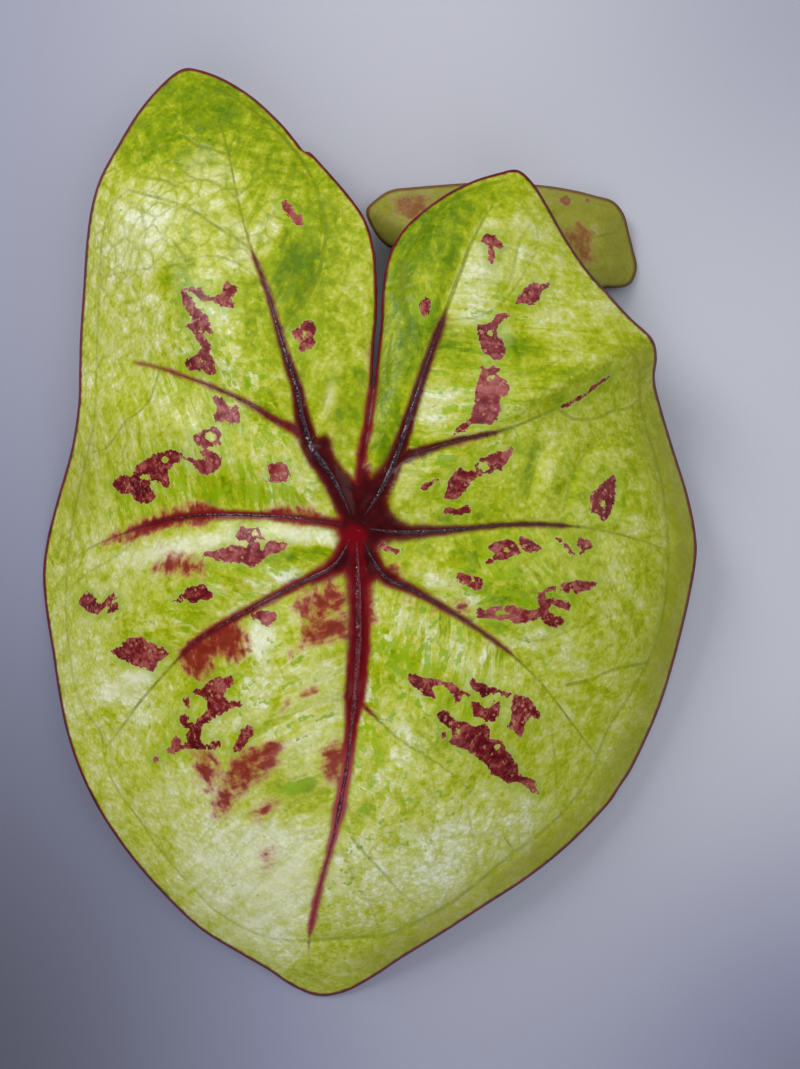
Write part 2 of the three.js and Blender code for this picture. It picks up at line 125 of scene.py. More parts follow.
# Fine veins, and two lines of painted shade along folds: width in marks at start and end, how dark they
# are, path
FRONT_VEINS = paths(3, (
    (4, 3, 0.6, 250,248, 240,241, 225,232, 213,224, 200,215, 186,207, 170,201, 155,197, 140,193, 128,190),
    (2, 2, 0.4, 128,190, 117,200, 108,215, 102,240, 100,270, 99,300, 97,340, 96,380, 94,420, 88,450, 79,490,
     71,530, 67,570, 66,610, 69,650, 76,690, 88,715, 101,733, 104,755, 111,777, 122,797, 138,818, 153,840,
     170,862, 190,885, 212,908, 240,926, 270,938, 300,941),
    (5, 3, 0.55, 281,332, 291,316, 303,303, 312,289, 319,272, 324,250, 326,230, 323,210, 318,192, 311,176,
     302,160, 290,145, 276,130, 255,112, 232,96, 212,86),
    (4, 2, 0.4, 311,288, 303,275, 296,262, 292,250, 290,235),
    (3, 2, 0.3, 325,228, 333,222, 342,214),
    (3, 2, 0.3, 321,262, 331,256, 345,250, 352,240),
    (3, 2, 0.3, 308,295, 320,292, 332,283, 345,270, 352,258),
    (4, 3, 0.5, 237,196, 246,188, 257,180, 266,168, 268,155),
    (3, 2, 0.4, 266,170, 276,172, 287,165),
    (4, 2, 0.4, 228,158, 240,150, 250,142, 256,135),
    (4, 2, 0.45, 227,155, 215,150, 203,147, 192,143, 183,133, 178,122),
    (4, 2, 0.4, 238,200, 228,190, 216,183, 205,180, 193,178, 182,170),
    (4, 3, 0.4, 175,186, 162,180, 150,178, 136,176),
    (3, 2, 0.4, 262,285, 250,272, 235,262, 215,256, 195,258, 180,264, 160,268, 135,270, 112,275, 100,280),
    (5, 3, 0.4, 186,262, 180,250, 172,240),
    (2.5, 2, 0.5, 160,368, 155,385, 148,402, 136,414, 125,422, 115,437, 104,449, 92,452),
    (2, 1.5, 0.35, 125,423, 127,438, 122,455),
    (2, 2, 0.45, 110,357, 103,358, 98,368),
    (2, 2, 0.3, 90,548, 80,556, 70,562),
    (2, 2, 0.3, 145,527, 130,545, 110,560, 90,572, 72,585),
    (2, 1, 0.18, 346,742, 322,750, 298,757, 272,772, 248,790, 225,812, 205,835, 190,858),
    (3, 2, 0.25, 350,700, 325,702, 298,712, 276,722, 258,735),
    (2, 1, 0.18, 333,830, 305,842, 280,860, 258,885, 240,905, 225,915),
    (2, 1, 0.18, 340,790, 315,795, 290,808, 265,828, 240,852, 222,880, 210,900),
    (4, 2, 0.4, 300,941, 330,939, 358,937, 385,935, 410,925, 432,914, 455,900, 478,882, 503,861, 530,841,
     553,822, 575,798, 590,775, 600,748, 612,722, 628,698, 643,672, 655,645, 663,615, 667,585, 668,550,
     666,515, 661,480, 653,450, 645,425, 640,400, 640,375, 636,358, 622,345),
    (2, 2, 0.5, 502,832, 508,842, 513,850),
    (4, 2, 0.45, 352,838, 368,857, 385,875, 400,892, 418,906),
    (3, 2, 0.3, 345,860, 358,885, 370,905, 378,925),
    (2, 1.5, 0.25, 420,750, 432,775, 436,805, 430,840),
    (2, 1.5, 0.25, 470,785, 468,810, 474,840, 478,870),
    (4, 3, 0.45, 567,685, 590,680, 607,672, 625,667, 645,663),
    (3, 2, 0.25, 520,640, 545,640, 570,630, 600,620, 630,610, 660,605),
    (2, 2, 0.25, 540,680, 548,705, 552,735, 556,770, 556,800),
    (2, 2, 0.25, 600,535, 603,560, 616,590, 628,615),
    # the next two rows are painted shade along folds on the right lobe, not veins
    (3, 2, 0.25, 527,500, 531,482, 536,465, 543,450, 552,438),
    (4, 2, 0.3, 563,512, 568,492, 573,475, 582,458, 592,446, 603,437, 620,432),
    (4, 3, 0.45, 556,408, 575,419, 597,418, 612,411, 628,408, 638,400),
    (3, 2, 0.35, 447,319, 460,319, 475,317, 490,312, 505,300, 520,280, 532,260, 538,240, 534,220, 522,205),
    (4, 3, 0.3, 505,290, 512,275, 515,260, 520,240, 530,225),
    (3, 2, 0.25, 500,340, 520,345, 545,347, 570,343),
    (4, 2, 0.3, 510,375, 530,373, 550,365, 575,350),
    (6, 4, 0.5, 404,300, 402,280, 404,262, 412,245, 422,230, 433,217, 447,203, 465,192, 485,185, 505,180),
    (4, 2, 0.35, 404,300, 410,320, 408,345, 400,370),
    (3, 2, 0.3, 440,300, 430,280, 432,260, 445,245),
    (3, 1.5, 0.6, 392,334, 389,352, 387,372, 389,388),
))
# Folds that only shape the blade: half width in mm, height in mm, path
FRONT_FOLDS = paths(2, (
    (1.2, 0.35, 446,322, 465,317, 490,310),
    (2, -0.5, 527,500, 531,482, 536,465, 543,450, 552,438),
    (2.6, 0.4, 545,505, 550,485, 556,468, 566,450),
    (2.2, -0.7, 563,512, 568,492, 573,475, 582,458, 592,446, 603,437),
    (2.4, -0.8, 505,428, 540,412, 575,396, 610,377, 636,360),
    (2, -0.7, 300,941, 358,938, 410,925, 455,900, 503,861, 553,822, 590,775),
    (2, -0.5, 600,748, 628,698, 655,645, 667,585, 668,530, 661,480, 645,425),
    (1.4, -0.3, 101,733, 122,797, 153,840, 190,885, 240,926),
    (1.8, -0.5, 404,300, 404,262, 422,230, 447,203, 485,185),
    (1.6, -0.4, 281,332, 303,303, 319,272, 326,230, 318,192, 302,160),
    (2.2, -0.7, 228,158, 236,195, 250,245),
    (2, -0.5, 470,240, 490,205, 508,178),
    (3, 0.5, 160,560, 190,548, 240,534, 300,530),
    (2.6, 0.5, 260,625, 266,650, 262,680),
    (2.2, 0.35, 120,690, 140,678, 160,672),
))
# junction: where the ribs meet. bulge: how far each panel rises between its ribs. slit_at: share of the
# way out at which the slit starts. groove: depth of the dent over a side rib. groove_wide, hub_wide and
# rib_half (at both ends): half widths. pucker and curl: strength of the wrinkles and of the curled rim.
FRONT = dict(
    name="front_blade", junction=(356, 527, 46), rim=FRONT_RIM, ribs=FRONT_RIBS, side=FRONT_SIDE_RIBS,
    veins=FRONT_VEINS, folds=FRONT_FOLDS,
    bulge=[2.8, 5.5, 4.5, 5.5, 5.5, 5, 5.5, 2.8], slit_at=0.5, groove=0.9, groove_wide=4.8,
    hub_wide=6, rib_half=(1.7, 0.8), pucker=1.0, curl=1.0,
)

# ---------------------------------------------------------------- small leaf
REAR_RIM = group(3,
    428,271,13, 420,283,11, 404,292,8, 396,305,6, 400,328,5.5, 418,344,7.5, 450,353,10, 490,351,9,
    530,341,4.5, 566,325,1.4, 592,301,2, 604,289,3, 615,288,3.5, 625,287,3, 633,281,1.8, 637,267,1.1,
    634,252,1.5, 629,232,3, 624,214,4.5, 613,201,5.5, 597,196,6, 573,190,6, 545,185.5,5, 510,183,3.5,
    478,182.5,2, 445,184.5,1.2, 415,187,2, 391,190,4.5, 375,200,7, 366,211,8.5, 372,228,9.5, 384,244,10.5,
    400,251,12, 416,258,12.5, 428,266,13)
REAR_BAND = group(2, 0,9, 25,4, 60,2.4, 110,1.4, 200,1)
# Each rib: rim, slit, turn, rise, ridge, fade, red, path
REAR_RIBS = [dict(zip(("path", "rim", "slit", "turn", "rise", "ridge", "fade", "red"), rib), wide=REAR_BAND)
             for rib in paths(7, (
    (0, 3, 1.6, 0, 0.4, 60, 0.6, 467,263, 456,267, 446,268.5),
    (4, None, 2, 1, 0.9, 45, 0.4, 462,275, 444,289, 428,301, 412,314),
    (7, None, 2, 1, 0.8, 45, 0.4, 477,284, 474,305, 470,330),
    (9, None, 2.2, 1, 0.8, 45, 0.4, 496,279, 517,297, 540,314),
    (15, None, 3, 2, 1.1, 70, 0.7, 505,265, 535,268, 570,270, 605,270),
    (20, None, 2.4, 1.5, 0.8, 45, 0.4, 499,248, 525,232, 553,216, 578,203),
    (24, None, 2, 1, 0.8, 45, 0.4, 478,242, 478,222, 478,202),
    (29, None, 2, 1, 0.9, 45, 0.4, 461,251, 442,239, 418,226, 391,216),
    (34, 3, 1.6, 0, 0.4, 60, 0.6, 467,261, 456,265, 446,267.5),
))]
REAR_VEINS = paths(3, (
    (3, 2, 0.4, 505,265, 525,262, 550,256, 575,246, 600,236, 620,232),
    (2, 1.5, 0.3, 560,270, 580,262, 600,256, 622,254),
    (2, 1.5, 0.3, 535,268, 556,276, 580,285, 600,282),
    (3, 2, 0.35, 384,206, 400,213, 420,224, 440,238),
))
REAR = dict(
    name="rear_blade", junction=(478, 262, 21), rim=REAR_RIM, ribs=REAR_RIBS, side=[],
    veins=REAR_VEINS, folds=[],
    bulge=[0.8, 1.8, 1.6, 1.8, 1.8, 1.8, 1.8, 1], slit_at=0.45, hub_wide=4,
    rib_half=(1.0, 0.5), pucker=0.5, curl=0.5,
)

# ---------------------------------------------------------------- markings on the big leaf
# Maroon blotches, each an outline on the chart
BLOTCHES = [group(2, *outline) for outline in (
    (281,203, 285,200, 289,203, 295,210, 297,216, 301,213, 303,220, 303,226, 298,226, 293,222, 288,214,
     283,211),
    (291,334, 298,328, 304,321, 312,320, 317,328, 314,334, 313,340, 316,343, 312,348, 306,348, 303,354,
     299,350, 300,343, 296,338),
    (222,287, 228,281, 234,286, 239,289, 235,295, 230,298, 235,303, 233,311, 228,309, 223,306, 212,302,
     200,299, 192,293, 184,288, 190,287, 199,288, 206,294, 215,296, 222,296),
    (181,291, 187,295, 194,301, 196,307, 201,311, 207,317, 210,325, 214,335, 207,333, 200,331, 203,337,
     208,341, 211,347, 210,354, 214,362, 216,372, 211,377, 205,374, 201,368, 203,374, 196,370, 189,370,
     184,362, 190,356, 198,353, 201,348, 198,341, 194,334, 188,328, 184,325, 192,322, 190,315, 186,309,
     182,301),
    (212,395, 217,395, 223,398, 226,404, 230,408, 236,403, 240,406, 237,410, 241,416, 239,423, 231,424,
     226,421, 216,422, 213,414, 218,407, 213,400),
    (192,434, 200,434, 202,429, 212,428, 217,427, 221,434, 220,441, 221,446, 217,444, 210,447, 200,446,
     194,443, 193,439),
    (180,453, 186,457, 196,459, 204,460, 205,457, 200,452, 203,449, 213,450, 220,456, 222,464, 216,471,
     208,475, 203,475, 197,470, 190,463, 184,459),
    (112,484, 116,478, 124,475, 130,477, 134,472, 138,465, 146,459, 152,458, 153,454, 161,453, 167,450,
     172,448, 179,453, 182,457, 179,463, 172,466, 168,471, 169,480, 167,490, 163,486, 158,482, 150,481,
     152,489, 155,495, 152,503, 143,503, 134,500, 131,494, 122,493, 116,489),
    (267,467, 274,463, 283,462, 288,468, 291,475, 286,481, 276,483, 266,481, 270,475),
    (235,536, 238,530, 241,526, 246,530, 252,527, 258,528, 259,533, 264,538, 265,541, 260,539, 257,536,
     255,541, 260,545, 262,549, 267,543, 273,540, 282,542, 288,545, 284,551, 275,553, 268,553, 263,560,
     258,564, 250,568, 243,564, 234,562, 224,562, 216,560, 212,557, 203,557, 199,554, 206,551, 216,550,
     224,548, 232,545, 240,545, 246,548, 249,543, 246,540, 240,541),
    (185,588, 192,585, 203,585, 210,590, 214,595, 209,600, 199,600, 194,605, 189,602, 184,598, 179,598,
     177,594, 184,593),
    (171,602, 178,599, 182,603),
    (75,604, 80,600, 80,594, 86,592, 92,594, 97,599, 98,604, 103,603, 106,600, 108,596, 113,594, 119,598,
     113,600, 112,603, 118,602, 119,608, 114,612, 107,613, 110,608, 113,606, 107,605, 103,609, 98,615,
     90,613, 84,609, 81,605),
    (110,651, 122,645, 130,637, 141,637, 150,643, 158,647, 166,649, 170,652, 165,657, 158,663, 153,672,
     145,668, 136,666, 124,661, 117,657),
    (250,614, 262,610, 273,610, 278,615, 276,621, 268,627, 262,624, 258,620, 253,619),
    (226,678, 233,673, 235,680, 230,686, 226,692, 224,698, 230,701, 240,701, 243,706, 236,708, 228,710,
     224,715, 217,716, 210,722, 205,723, 202,727, 203,733, 200,738, 202,743, 209,743, 218,739, 221,745,
     214,750, 203,749, 192,749, 182,750, 176,754, 168,753, 163,750, 171,746, 166,742, 172,740, 176,736,
     180,738, 182,744, 188,744, 186,738, 190,730, 184,727, 179,723, 178,715, 184,713, 190,715, 188,722,
     195,724, 199,718, 205,712, 208,703, 205,697, 198,695, 192,693, 196,689, 203,688, 210,681, 218,676),
    (183,699, 190,694, 191,702, 189,709, 184,706),
    (152,758, 158,752, 160,758, 155,762),
    (241,730, 248,725, 254,728, 253,737, 246,744, 240,751, 230,752, 236,743),
    (480,238, 487,233, 496,235, 500,241, 504,247, 500,250, 494,246, 494,252, 496,258, 492,264, 488,260,
     489,252, 487,246, 481,242),
    (424,297, 430,300, 431,308, 427,319, 421,312, 420,304),
    (515,305, 519,297, 524,290, 530,284, 537,283, 538,287, 544,283, 551,281, 549,287, 541,291, 540,296,
     537,302, 530,305, 522,303),
    (477,325, 486,324, 493,320, 498,314, 506,312, 511,315, 504,319, 500,325, 497,331, 498,337, 504,338,
     504,345, 506,352, 502,359, 495,362, 492,358, 486,354, 481,347, 478,338),
    (482,366, 486,370, 494,367, 499,369, 496,374, 502,378, 508,382, 510,390, 505,397, 499,399, 500,410,
     496,420, 490,425, 480,425, 472,424, 468,430, 460,433, 452,437, 458,427, 463,422, 470,420, 473,410,
     475,400, 476,388, 479,378),
    (560,408, 566,403, 575,399, 585,393, 592,386, 600,381, 607,376, 613,375, 606,381, 597,388, 586,396,
     575,402, 566,407),
    (590,497, 598,487, 604,481, 615,473, 617,481, 615,492, 615,503, 612,510, 608,519, 602,520, 597,514,
     590,513, 591,504),
    (442,499, 447,490, 449,481, 453,474, 460,467, 465,470, 470,472, 476,471, 473,465, 480,459, 490,454,
     500,451, 508,450, 515,446, 511,455, 507,464, 502,470, 493,471, 483,474, 477,478, 470,483, 465,490,
     461,496, 452,499),
    (420,490, 426,482, 435,479, 439,480, 432,486, 425,490),
    (442,511, 448,507, 458,509, 463,506, 470,505, 471,512, 465,515, 452,514, 445,513),
    (377,543, 385,544, 395,547, 406,550, 396,554, 388,552, 380,548),
    (488,547, 495,541, 505,539, 514,541, 519,547, 520,553, 513,557, 503,560, 495,561, 487,564, 485,561,
     492,557, 496,552, 490,550),
    (518,539, 522,535, 527,539, 534,542, 541,548, 538,552, 528,552, 522,548),
    (553,536, 560,539, 567,544, 572,550, 576,555, 582,553, 580,549, 576,543, 579,537, 585,539, 591,543,
     594,547, 588,549, 583,553, 577,556, 571,554, 567,548, 560,543),
    (456,577, 461,571, 468,574, 477,576, 482,579, 485,584, 481,589, 473,590, 467,585, 459,582),
    (475,612, 482,607, 484,612, 492,608, 503,606, 513,605, 520,609, 530,612, 540,607, 537,600, 538,593,
     543,590, 549,586, 560,585, 567,582, 576,580, 590,581, 597,583, 590,590, 580,592, 576,595, 572,589,
     568,594, 560,590, 552,590, 546,592, 546,598, 556,598, 566,600, 572,606, 570,611, 560,608, 551,605,
     549,610, 552,615, 560,616, 565,620, 562,626, 550,628, 544,622, 541,617, 532,621, 520,624, 514,624,
     512,619, 505,620, 497,619, 490,618, 483,617, 478,617),
    (407,675, 413,673, 420,676, 428,679, 440,680, 453,682, 458,686, 461,690, 469,693, 475,695, 468,696,
     463,695, 460,698, 463,703, 456,702, 452,696, 449,690, 443,686, 434,686, 431,689, 436,699, 428,697,
     422,694, 415,689, 410,684),
    (469,677, 477,682, 486,683, 488,688, 497,688, 505,690, 512,694, 507,698, 499,693, 491,694, 483,698,
     478,693, 472,687),
    (471,702, 480,702, 485,708, 491,708, 494,701, 501,701, 499,708, 499,717, 494,723, 488,720, 480,718,
     474,718, 472,711),
    (512,694, 521,695, 530,700, 535,706, 537,711, 543,715, 540,719, 532,716, 526,719, 524,728, 522,738,
     514,732, 507,727, 511,719, 511,708, 513,700),
    (437,714, 442,708, 448,712, 453,718, 462,722, 470,725, 479,725, 487,724, 491,731, 489,738, 497,739,
     504,745, 507,750, 513,758, 517,766, 518,774, 527,777, 535,780, 537,788, 540,795, 533,793, 526,785,
     517,783, 507,783, 500,778, 491,775, 488,767, 480,759, 470,752, 462,748, 452,745, 447,742, 452,736,
     450,728, 443,724, 439,719),
    (441,733, 445,731, 446,737, 442,738),
)]
# Green islands inside blotches: x, y, half width, half height
ISLANDS = group(4,
    304,333,2,4, 202,361,2.5,3, 211,437,5.5,4.5, 165,459,3,3, 146,477,4,2, 256,534,3.5,3, 490,333,2,3,
    492,378,4,2, 603,504,3,3, 484,466,5,4, 507,550,2.5,2, 501,613,6,3, 459,732,2.5,3, 497,747,3.5,3,
    473,581,2,2, 560,588,3,2)
# Dark maroon round the junction, where all bands run together
HEART = group(2,
    316,438, 325,434, 331,440, 331,450, 335,459, 343,470, 351,479, 357,481, 361,466, 368,466, 371,478,
    380,470, 388,458, 394,446, 402,446, 404,456, 397,472, 390,486, 387,500, 389,512, 400,522, 412,527,
    411,535, 396,538, 383,542, 377,549, 376,557, 384,567, 397,575, 401,583, 386,582, 376,578, 370,584,
    368,604, 349,604, 348,580, 344,572, 330,577, 312,585, 309,578, 326,564, 338,552, 342,542, 338,533,
    336,522, 344,513, 344,507, 335,494, 320,470, 310,450)
# Soft red flushes: strength, outline
FLUSHES = paths(1, (
    (0.85, 100,545, 116,532, 140,520, 170,508, 198,501, 212,505, 222,511, 205,525, 172,526, 146,534,
     124,543),
    (0.75, 148,569, 158,560, 168,551, 182,554, 196,555, 206,562, 206,576, 186,577, 164,575),
    (0.5, 152,541, 162,540, 168,551, 156,552),
    (0.9, 178,650, 200,636, 222,620, 240,617, 247,636, 250,655, 236,662, 220,660, 208,656, 214,668, 204,680,
     188,676, 180,664),
    (0.75, 300,590, 330,578, 346,590, 348,640, 330,642, 312,648, 300,640, 302,620, 292,606),
    (0.45, 285,650, 300,640, 320,645, 298,655, 288,668),
    (0.7, 278,709, 290,697, 290,705, 282,714),
    (0.8, 298,692, 318,684, 316,693, 302,698),
    (0.72, 190,746, 206,748, 226,766, 220,784, 206,796, 194,776),
    (0.78, 224,774, 236,754, 262,742, 284,740, 278,766, 258,784, 238,796, 222,802, 216,790),
    (0.6, 246,814, 270,798, 282,800, 260,826),
    (0.6, 208,800, 230,792, 242,800, 228,822, 212,818),
    (0.4, 254,850, 276,834, 284,846, 272,876, 256,882),
    (0.85, 322,750, 338,738, 346,750, 342,780, 328,782, 320,768),
    (0.7, 362,590, 372,600, 378,618, 372,632, 366,650, 364,690, 357,700, 360,640),
    (0.55, 335,800, 345,790, 348,812, 338,830, 330,826),
    (0.35, 300,905, 314,880, 318,884, 308,920, 300,930),
    (0.7, 448,604, 462,600, 472,608, 470,618, 456,614),
    (0.6, 430,608, 438,607, 436,613, 430,613),
    (0.75, 384,562, 396,564, 406,571, 404,578, 392,573),
    (0.45, 384,590, 408,596, 440,604, 424,610, 398,606),
    (0.65, 448,446, 462,440, 484,436, 474,444, 460,448),
    (0.55, 258,508, 290,502, 320,508, 330,520, 300,530, 282,526),
    (0.4, 230,576, 246,578, 252,588, 240,588),
    (0.5, 244,238, 256,244, 258,262, 250,258),
    (0.45, 330,420, 336,400, 340,402, 336,430, 330,446),
    (0.8, 368,345, 374,340, 374,352, 369,356),
    (0.4, 440,318, 448,310, 452,322, 444,330),
    (0.25, 196,600, 210,600, 216,612, 204,614),
))
# Soft oval spots below: x, y, half width, half height, turn in degrees, amount
# Ground colour, from -1 for deep green over 0 for lime to 1 for cream
# Some spots paint light and shade: the whitish streaks at 190,545 and 300,536 and the cream beside the
# right lobe's rib at 475,288 are painted sheen, and the narrow stripes at 530,470, 549,474 and 574,476 are
# painted light and shade on the sides of folds.
TONES = group(6,
    200,115,55,40,0,-0.85, 150,135,30,35,0,-0.4, 245,130,30,30,0,-0.7, 140,228,34,36,0,0.85,
    215,172,26,22,20,0.5, 270,228,12,24,0,0.67, 226,235,20,36,-30,0.4, 128,318,26,54,10,0.4,
    178,262,13,24,10,-0.7, 212,270,14,20,0,0.5, 228,350,20,40,0,0.4, 98,420,26,46,0,0.2,
    150,410,34,30,0,0.2, 256,335,14,40,-12,-0.4, 262,395,16,18,0,-0.28, 180,420,24,30,0,0.25,
    240,440,30,20,0,0.15, 225,488,30,12,0,-0.45, 290,465,18,22,0,0.2, 105,320,12,60,0,0.25,
    108,200,14,30,0,0.15, 300,265,18,40,-20,-1.03, 320,210,14,30,-20,-0.63, 262,175,14,26,0,-0.25,
    345,250,16,36,0,-0.18, 320,345,20,40,0,-0.48, 345,350,14,50,0,-0.28, 328,395,7,26,8,0.02,
    350,410,12,30,0,-0.73, 290,300,10,30,-15,-0.88, 92,625,34,40,0,0.35, 110,540,30,14,-20,0.3,
    118,562,22,8,-8,0.6, 190,545,70,7,-9,0.8, 300,536,34,8,4,0.9, 292,557,36,7,-8,-0.75,
    272,574,20,10,-10,0.7, 230,575,14,8,0,-0.3, 150,612,50,16,0,0, 180,630,30,14,-10,-0.1,
    262,645,9,26,0,0.95, 258,690,16,14,0,0.55, 300,690,34,34,0,0.45, 284,660,14,10,0,0.3,
    120,682,26,10,-25,0.85, 138,705,14,18,0,0.7, 70,700,16,50,0,0.3, 110,765,30,30,30,0.35,
    100,770,14,34,-30,0.1, 185,790,26,24,0,0.5, 298,787,11,4,-18,-0.2, 245,872,50,42,30,0.85,
    205,840,26,30,0,0.6, 285,905,18,34,10,0.8, 290,850,24,20,-30,0.7, 232,720,18,14,-30,0.6,
    300,735,26,16,0,0.45, 395,625,22,12,20,0.1, 392,665,20,14,0,-0.15, 430,640,44,16,32,0.5,
    470,672,50,14,40,0.4, 450,625,24,8,30,-0.4, 400,720,24,24,0,0.35, 380,800,26,40,0,0.3,
    360,870,20,30,0,0.55, 420,870,40,40,0,0.7, 480,838,50,30,-30,0.6, 560,735,40,40,0,0, 560,680,30,24,40,0,
    522,590,26,18,0,-0.6, 460,548,40,10,0,-0.45, 560,565,36,12,0,-0.1, 420,562,24,8,20,0.1,
    450,588,24,10,35,0.75, 500,625,14,6,0,-0.7, 540,640,40,12,20,0.3, 620,620,40,40,0,0,
    600,470,26,30,0,-0.03, 560,500,24,22,0,-0.33, 498,495,24,18,0,-0.38, 545,440,30,20,20,-0.13,
    420,505,26,10,0,-0.1, 470,520,40,6,0,-0.43, 640,440,20,50,0,-0.23, 475,288,16,32,15,0.65,
    484,255,14,22,15,0.7, 505,272,16,22,0,0.22, 520,235,18,22,0,0.32, 508,200,16,16,0,-0.33,
    560,325,30,26,20,0.37, 590,335,24,20,20,-0.13, 525,350,24,10,0,-0.98, 450,345,16,20,10,-0.68,
    520,310,14,12,0,-0.43, 545,390,24,14,-30,-0.53, 600,365,30,12,-30,-0.43, 434,402,15,14,0,0.45,
    450,428,20,6,-10,-0.03, 430,380,10,10,0,0.2, 470,200,20,14,-20,-0.78, 430,235,24,30,40,-1.1,
    404,285,14,34,10,-1.05, 412,340,16,36,15,-0.9, 388,410,10,50,5,-1, 452,240,10,30,15,-0.93,
    440,290,6,40,15,-1.03, 400,250,10,20,30,-0.8, 530,470,5,30,12,-0.53, 549,474,6,28,14,0.32,
    574,476,6,34,22,-0.43)
# Olive shade
OLIVES = group(6,
    330,978,26,10,5,0.25, 420,940,60,26,-28,0.85, 540,858,60,32,-38,0.9, 620,765,44,34,-56,0.95,
    668,660,46,32,-72,0.95, 688,550,60,30,90,0.95, 672,460,50,26,70,0.85, 642,375,34,20,60,0.5,
    560,760,40,40,0,0.3, 612,420,30,20,0,0.2, 590,740,30,40,30,0.3, 90,480,24,36,20,0.35,
    500,448,60,8,-20,0.35, 600,530,60,8,5,0.3, 380,930,40,20,-20,0.3)
# Where the net of small veins shows
NETTED = group(6,
    190,130,80,70,0,1, 140,240,60,60,0,0.8, 300,220,50,80,0,0.9, 240,230,30,50,0,0.8, 90,400,30,80,0,0.5,
    80,560,30,60,0,0.5, 190,440,40,30,0,0.3, 600,560,70,60,0,0.35, 500,850,90,40,-30,0.3,
    230,840,60,60,0,0.25, 500,210,40,40,0,0.3, 640,440,30,60,0,0.3)
# Where the ground has bright green flecks
FLECKS = group(6,
    215,485,60,22,5,0.5, 245,430,40,26,0,0.4, 235,385,34,26,10,0.42, 205,345,34,44,0,0.42,
    160,385,26,14,0,0.35, 225,305,40,22,0,0.35, 290,490,40,12,0,0.5, 130,515,26,10,-20,0.3,
    150,470,40,20,-20,0.3, 250,575,50,20,-15,0.35, 190,610,50,14,-20,0.3, 250,670,40,30,0,0.36,
    290,720,40,24,0,0.3, 220,650,26,14,0,0.4, 165,730,16,30,0,0.3, 400,655,40,20,20,0.55,
    440,640,40,20,30,0.4, 480,640,50,20,30,0.35, 370,740,12,60,0,0.5, 430,700,60,40,20,0.35,
    400,800,50,40,30,0.3, 350,860,20,40,10,0.28, 500,590,50,30,0,0.42, 480,400,40,50,0,0.4,
    450,470,40,40,0,0.36, 530,440,40,30,0,0.2, 500,300,30,50,0,0.25, 430,330,14,50,10,0.3,
    400,600,40,14,30,0.3, 299,786,12,5,-18,1.3)
# Whitish stretches, partly pale cream in the ground and partly painted sheen on the glossy skin
PALE_AND_SHEEN_SPOTS = group(6,
    160,556,36,9,-8,0.55, 215,543,36,8,-8,0.45, 285,535,26,8,0,0.6, 150,575,20,5,-5,0.3, 264,640,7,24,0,0.7,
    130,682,26,7,-25,0.6, 330,575,18,7,-20,0.35, 250,885,46,40,30,0.6, 280,860,26,24,-30,0.6,
    320,700,24,26,0,0.3, 300,760,30,20,-20,0.35, 240,800,30,16,-20,0.25, 470,290,12,40,20,0.3,
    430,400,14,14,0,0.45, 205,165,20,14,20,0.4, 150,235,30,26,0,0.3, 300,470,16,16,40,0.4,
    410,480,10,14,30,0.4, 440,640,50,8,30,0.3, 340,880,12,14,-30,0.4, 600,470,20,24,0,0.2,
    330,395,5,24,8,0.3, 235,235,14,26,-30,0.25, 488,395,15,26,10,0.4, 496,336,12,18,0,0.45,
    535,292,14,9,-20,0.4, 196,320,16,44,-10,0.45, 205,440,20,30,0,0.3, 228,410,14,16,0,0.35,
    240,548,40,16,0,0.35)

# ---------------------------------------------------------------- markings on the small leaf
REAR_BLOTCHES = [group(2, *outline) for outline in (
    (561,197, 567,195, 572,198, 570,205, 564,206, 560,202), (583,199, 588,198, 591,202, 586,204),
    (402,199, 410,197, 414,203, 410,211, 403,209), (520,205, 528,203, 530,209, 523,212),
    (450,205, 458,204, 456,212, 449,211), (505,300, 513,298, 517,305, 508,307),
    (548,296, 556,297, 553,304, 546,302), (432,318, 440,316, 442,324, 434,326),
)]
REAR_FLUSHES = paths(1, (
    (0.8, 566,233, 573,224, 580,221, 592,232, 590,244, 596,262, 582,266, 570,250),
    (0.7, 392,200, 408,194, 430,196, 432,212, 412,220, 396,212),
    (0.7, 450,250, 478,242, 505,255, 500,275, 478,282, 456,272),
    (0.4, 520,240, 550,226, 560,240, 535,256),
))
REAR_TONES = group(6,
    610,240,30,40,0,-0.2, 560,215,40,20,0,-0.1, 400,205,30,20,0,0.1, 480,220,40,20,0,0.2,
    520,300,50,20,0,0.1, 440,310,30,20,0,0.2)
REAR_OLIVES = group(6,
    500,260,160,90,0,0.8)

# ---------------------------------------------------------------- stalks and neck
# under: height of the stalk's start. top and base: half width at its start and end.
# line: x, y and height from its start.
FRONT_STALK = dict(
    name="front_petiole", under=FRONT["junction"][2] - 0.9 - HUB_DEPTH - 0.3, top=3, base=4.3,
    line=group(3, -11.3,1.9,0, -11.3,1.2,-4, -11.6,-1.2,-13, -13,-9,-25, -15.5,-24,-34.5,
               -18.5,-45,-39.3, -21,-68,-38.8, -22.4,-80,-38, -22.6,-88.2,-38))
REAR_STALK = dict(
    name="rear_petiole", under=REAR["junction"][2] - 0.8 - HUB_DEPTH - 0.3, top=2.1, base=3.9,
    line=group(3, 22.3,77.9,0, 22.2,77,-3, 21.8,72.5,-9.5, 20.5,62,-14.4, 17,40,-15.9, 11,12,-15.9,
               3,-20,-15.5, -5,-48,-15, -11,-68,-13.6, -13.2,-80,-13.2, -13.4,-88.2,-13.2))
# front and back: y of the ends. rings: swell of the bark at even steps between them.
NECK = dict(
    name="crown", x=-18, front=-88.5, back=-106, centre=7.2, wide=12, tall=9.2, sides=112, steps=61,
    rings=[0.9, 1, 0.955, 1.02, 0.965, 1.01, 0.95, 0.98, 0.9])


# ---------------------------------------------------------------- camera and light
def add_object(name, data):
    made = bpy.data.objects.new(name, data)
    bpy.context.scene.collection.objects.link(made)
    return made


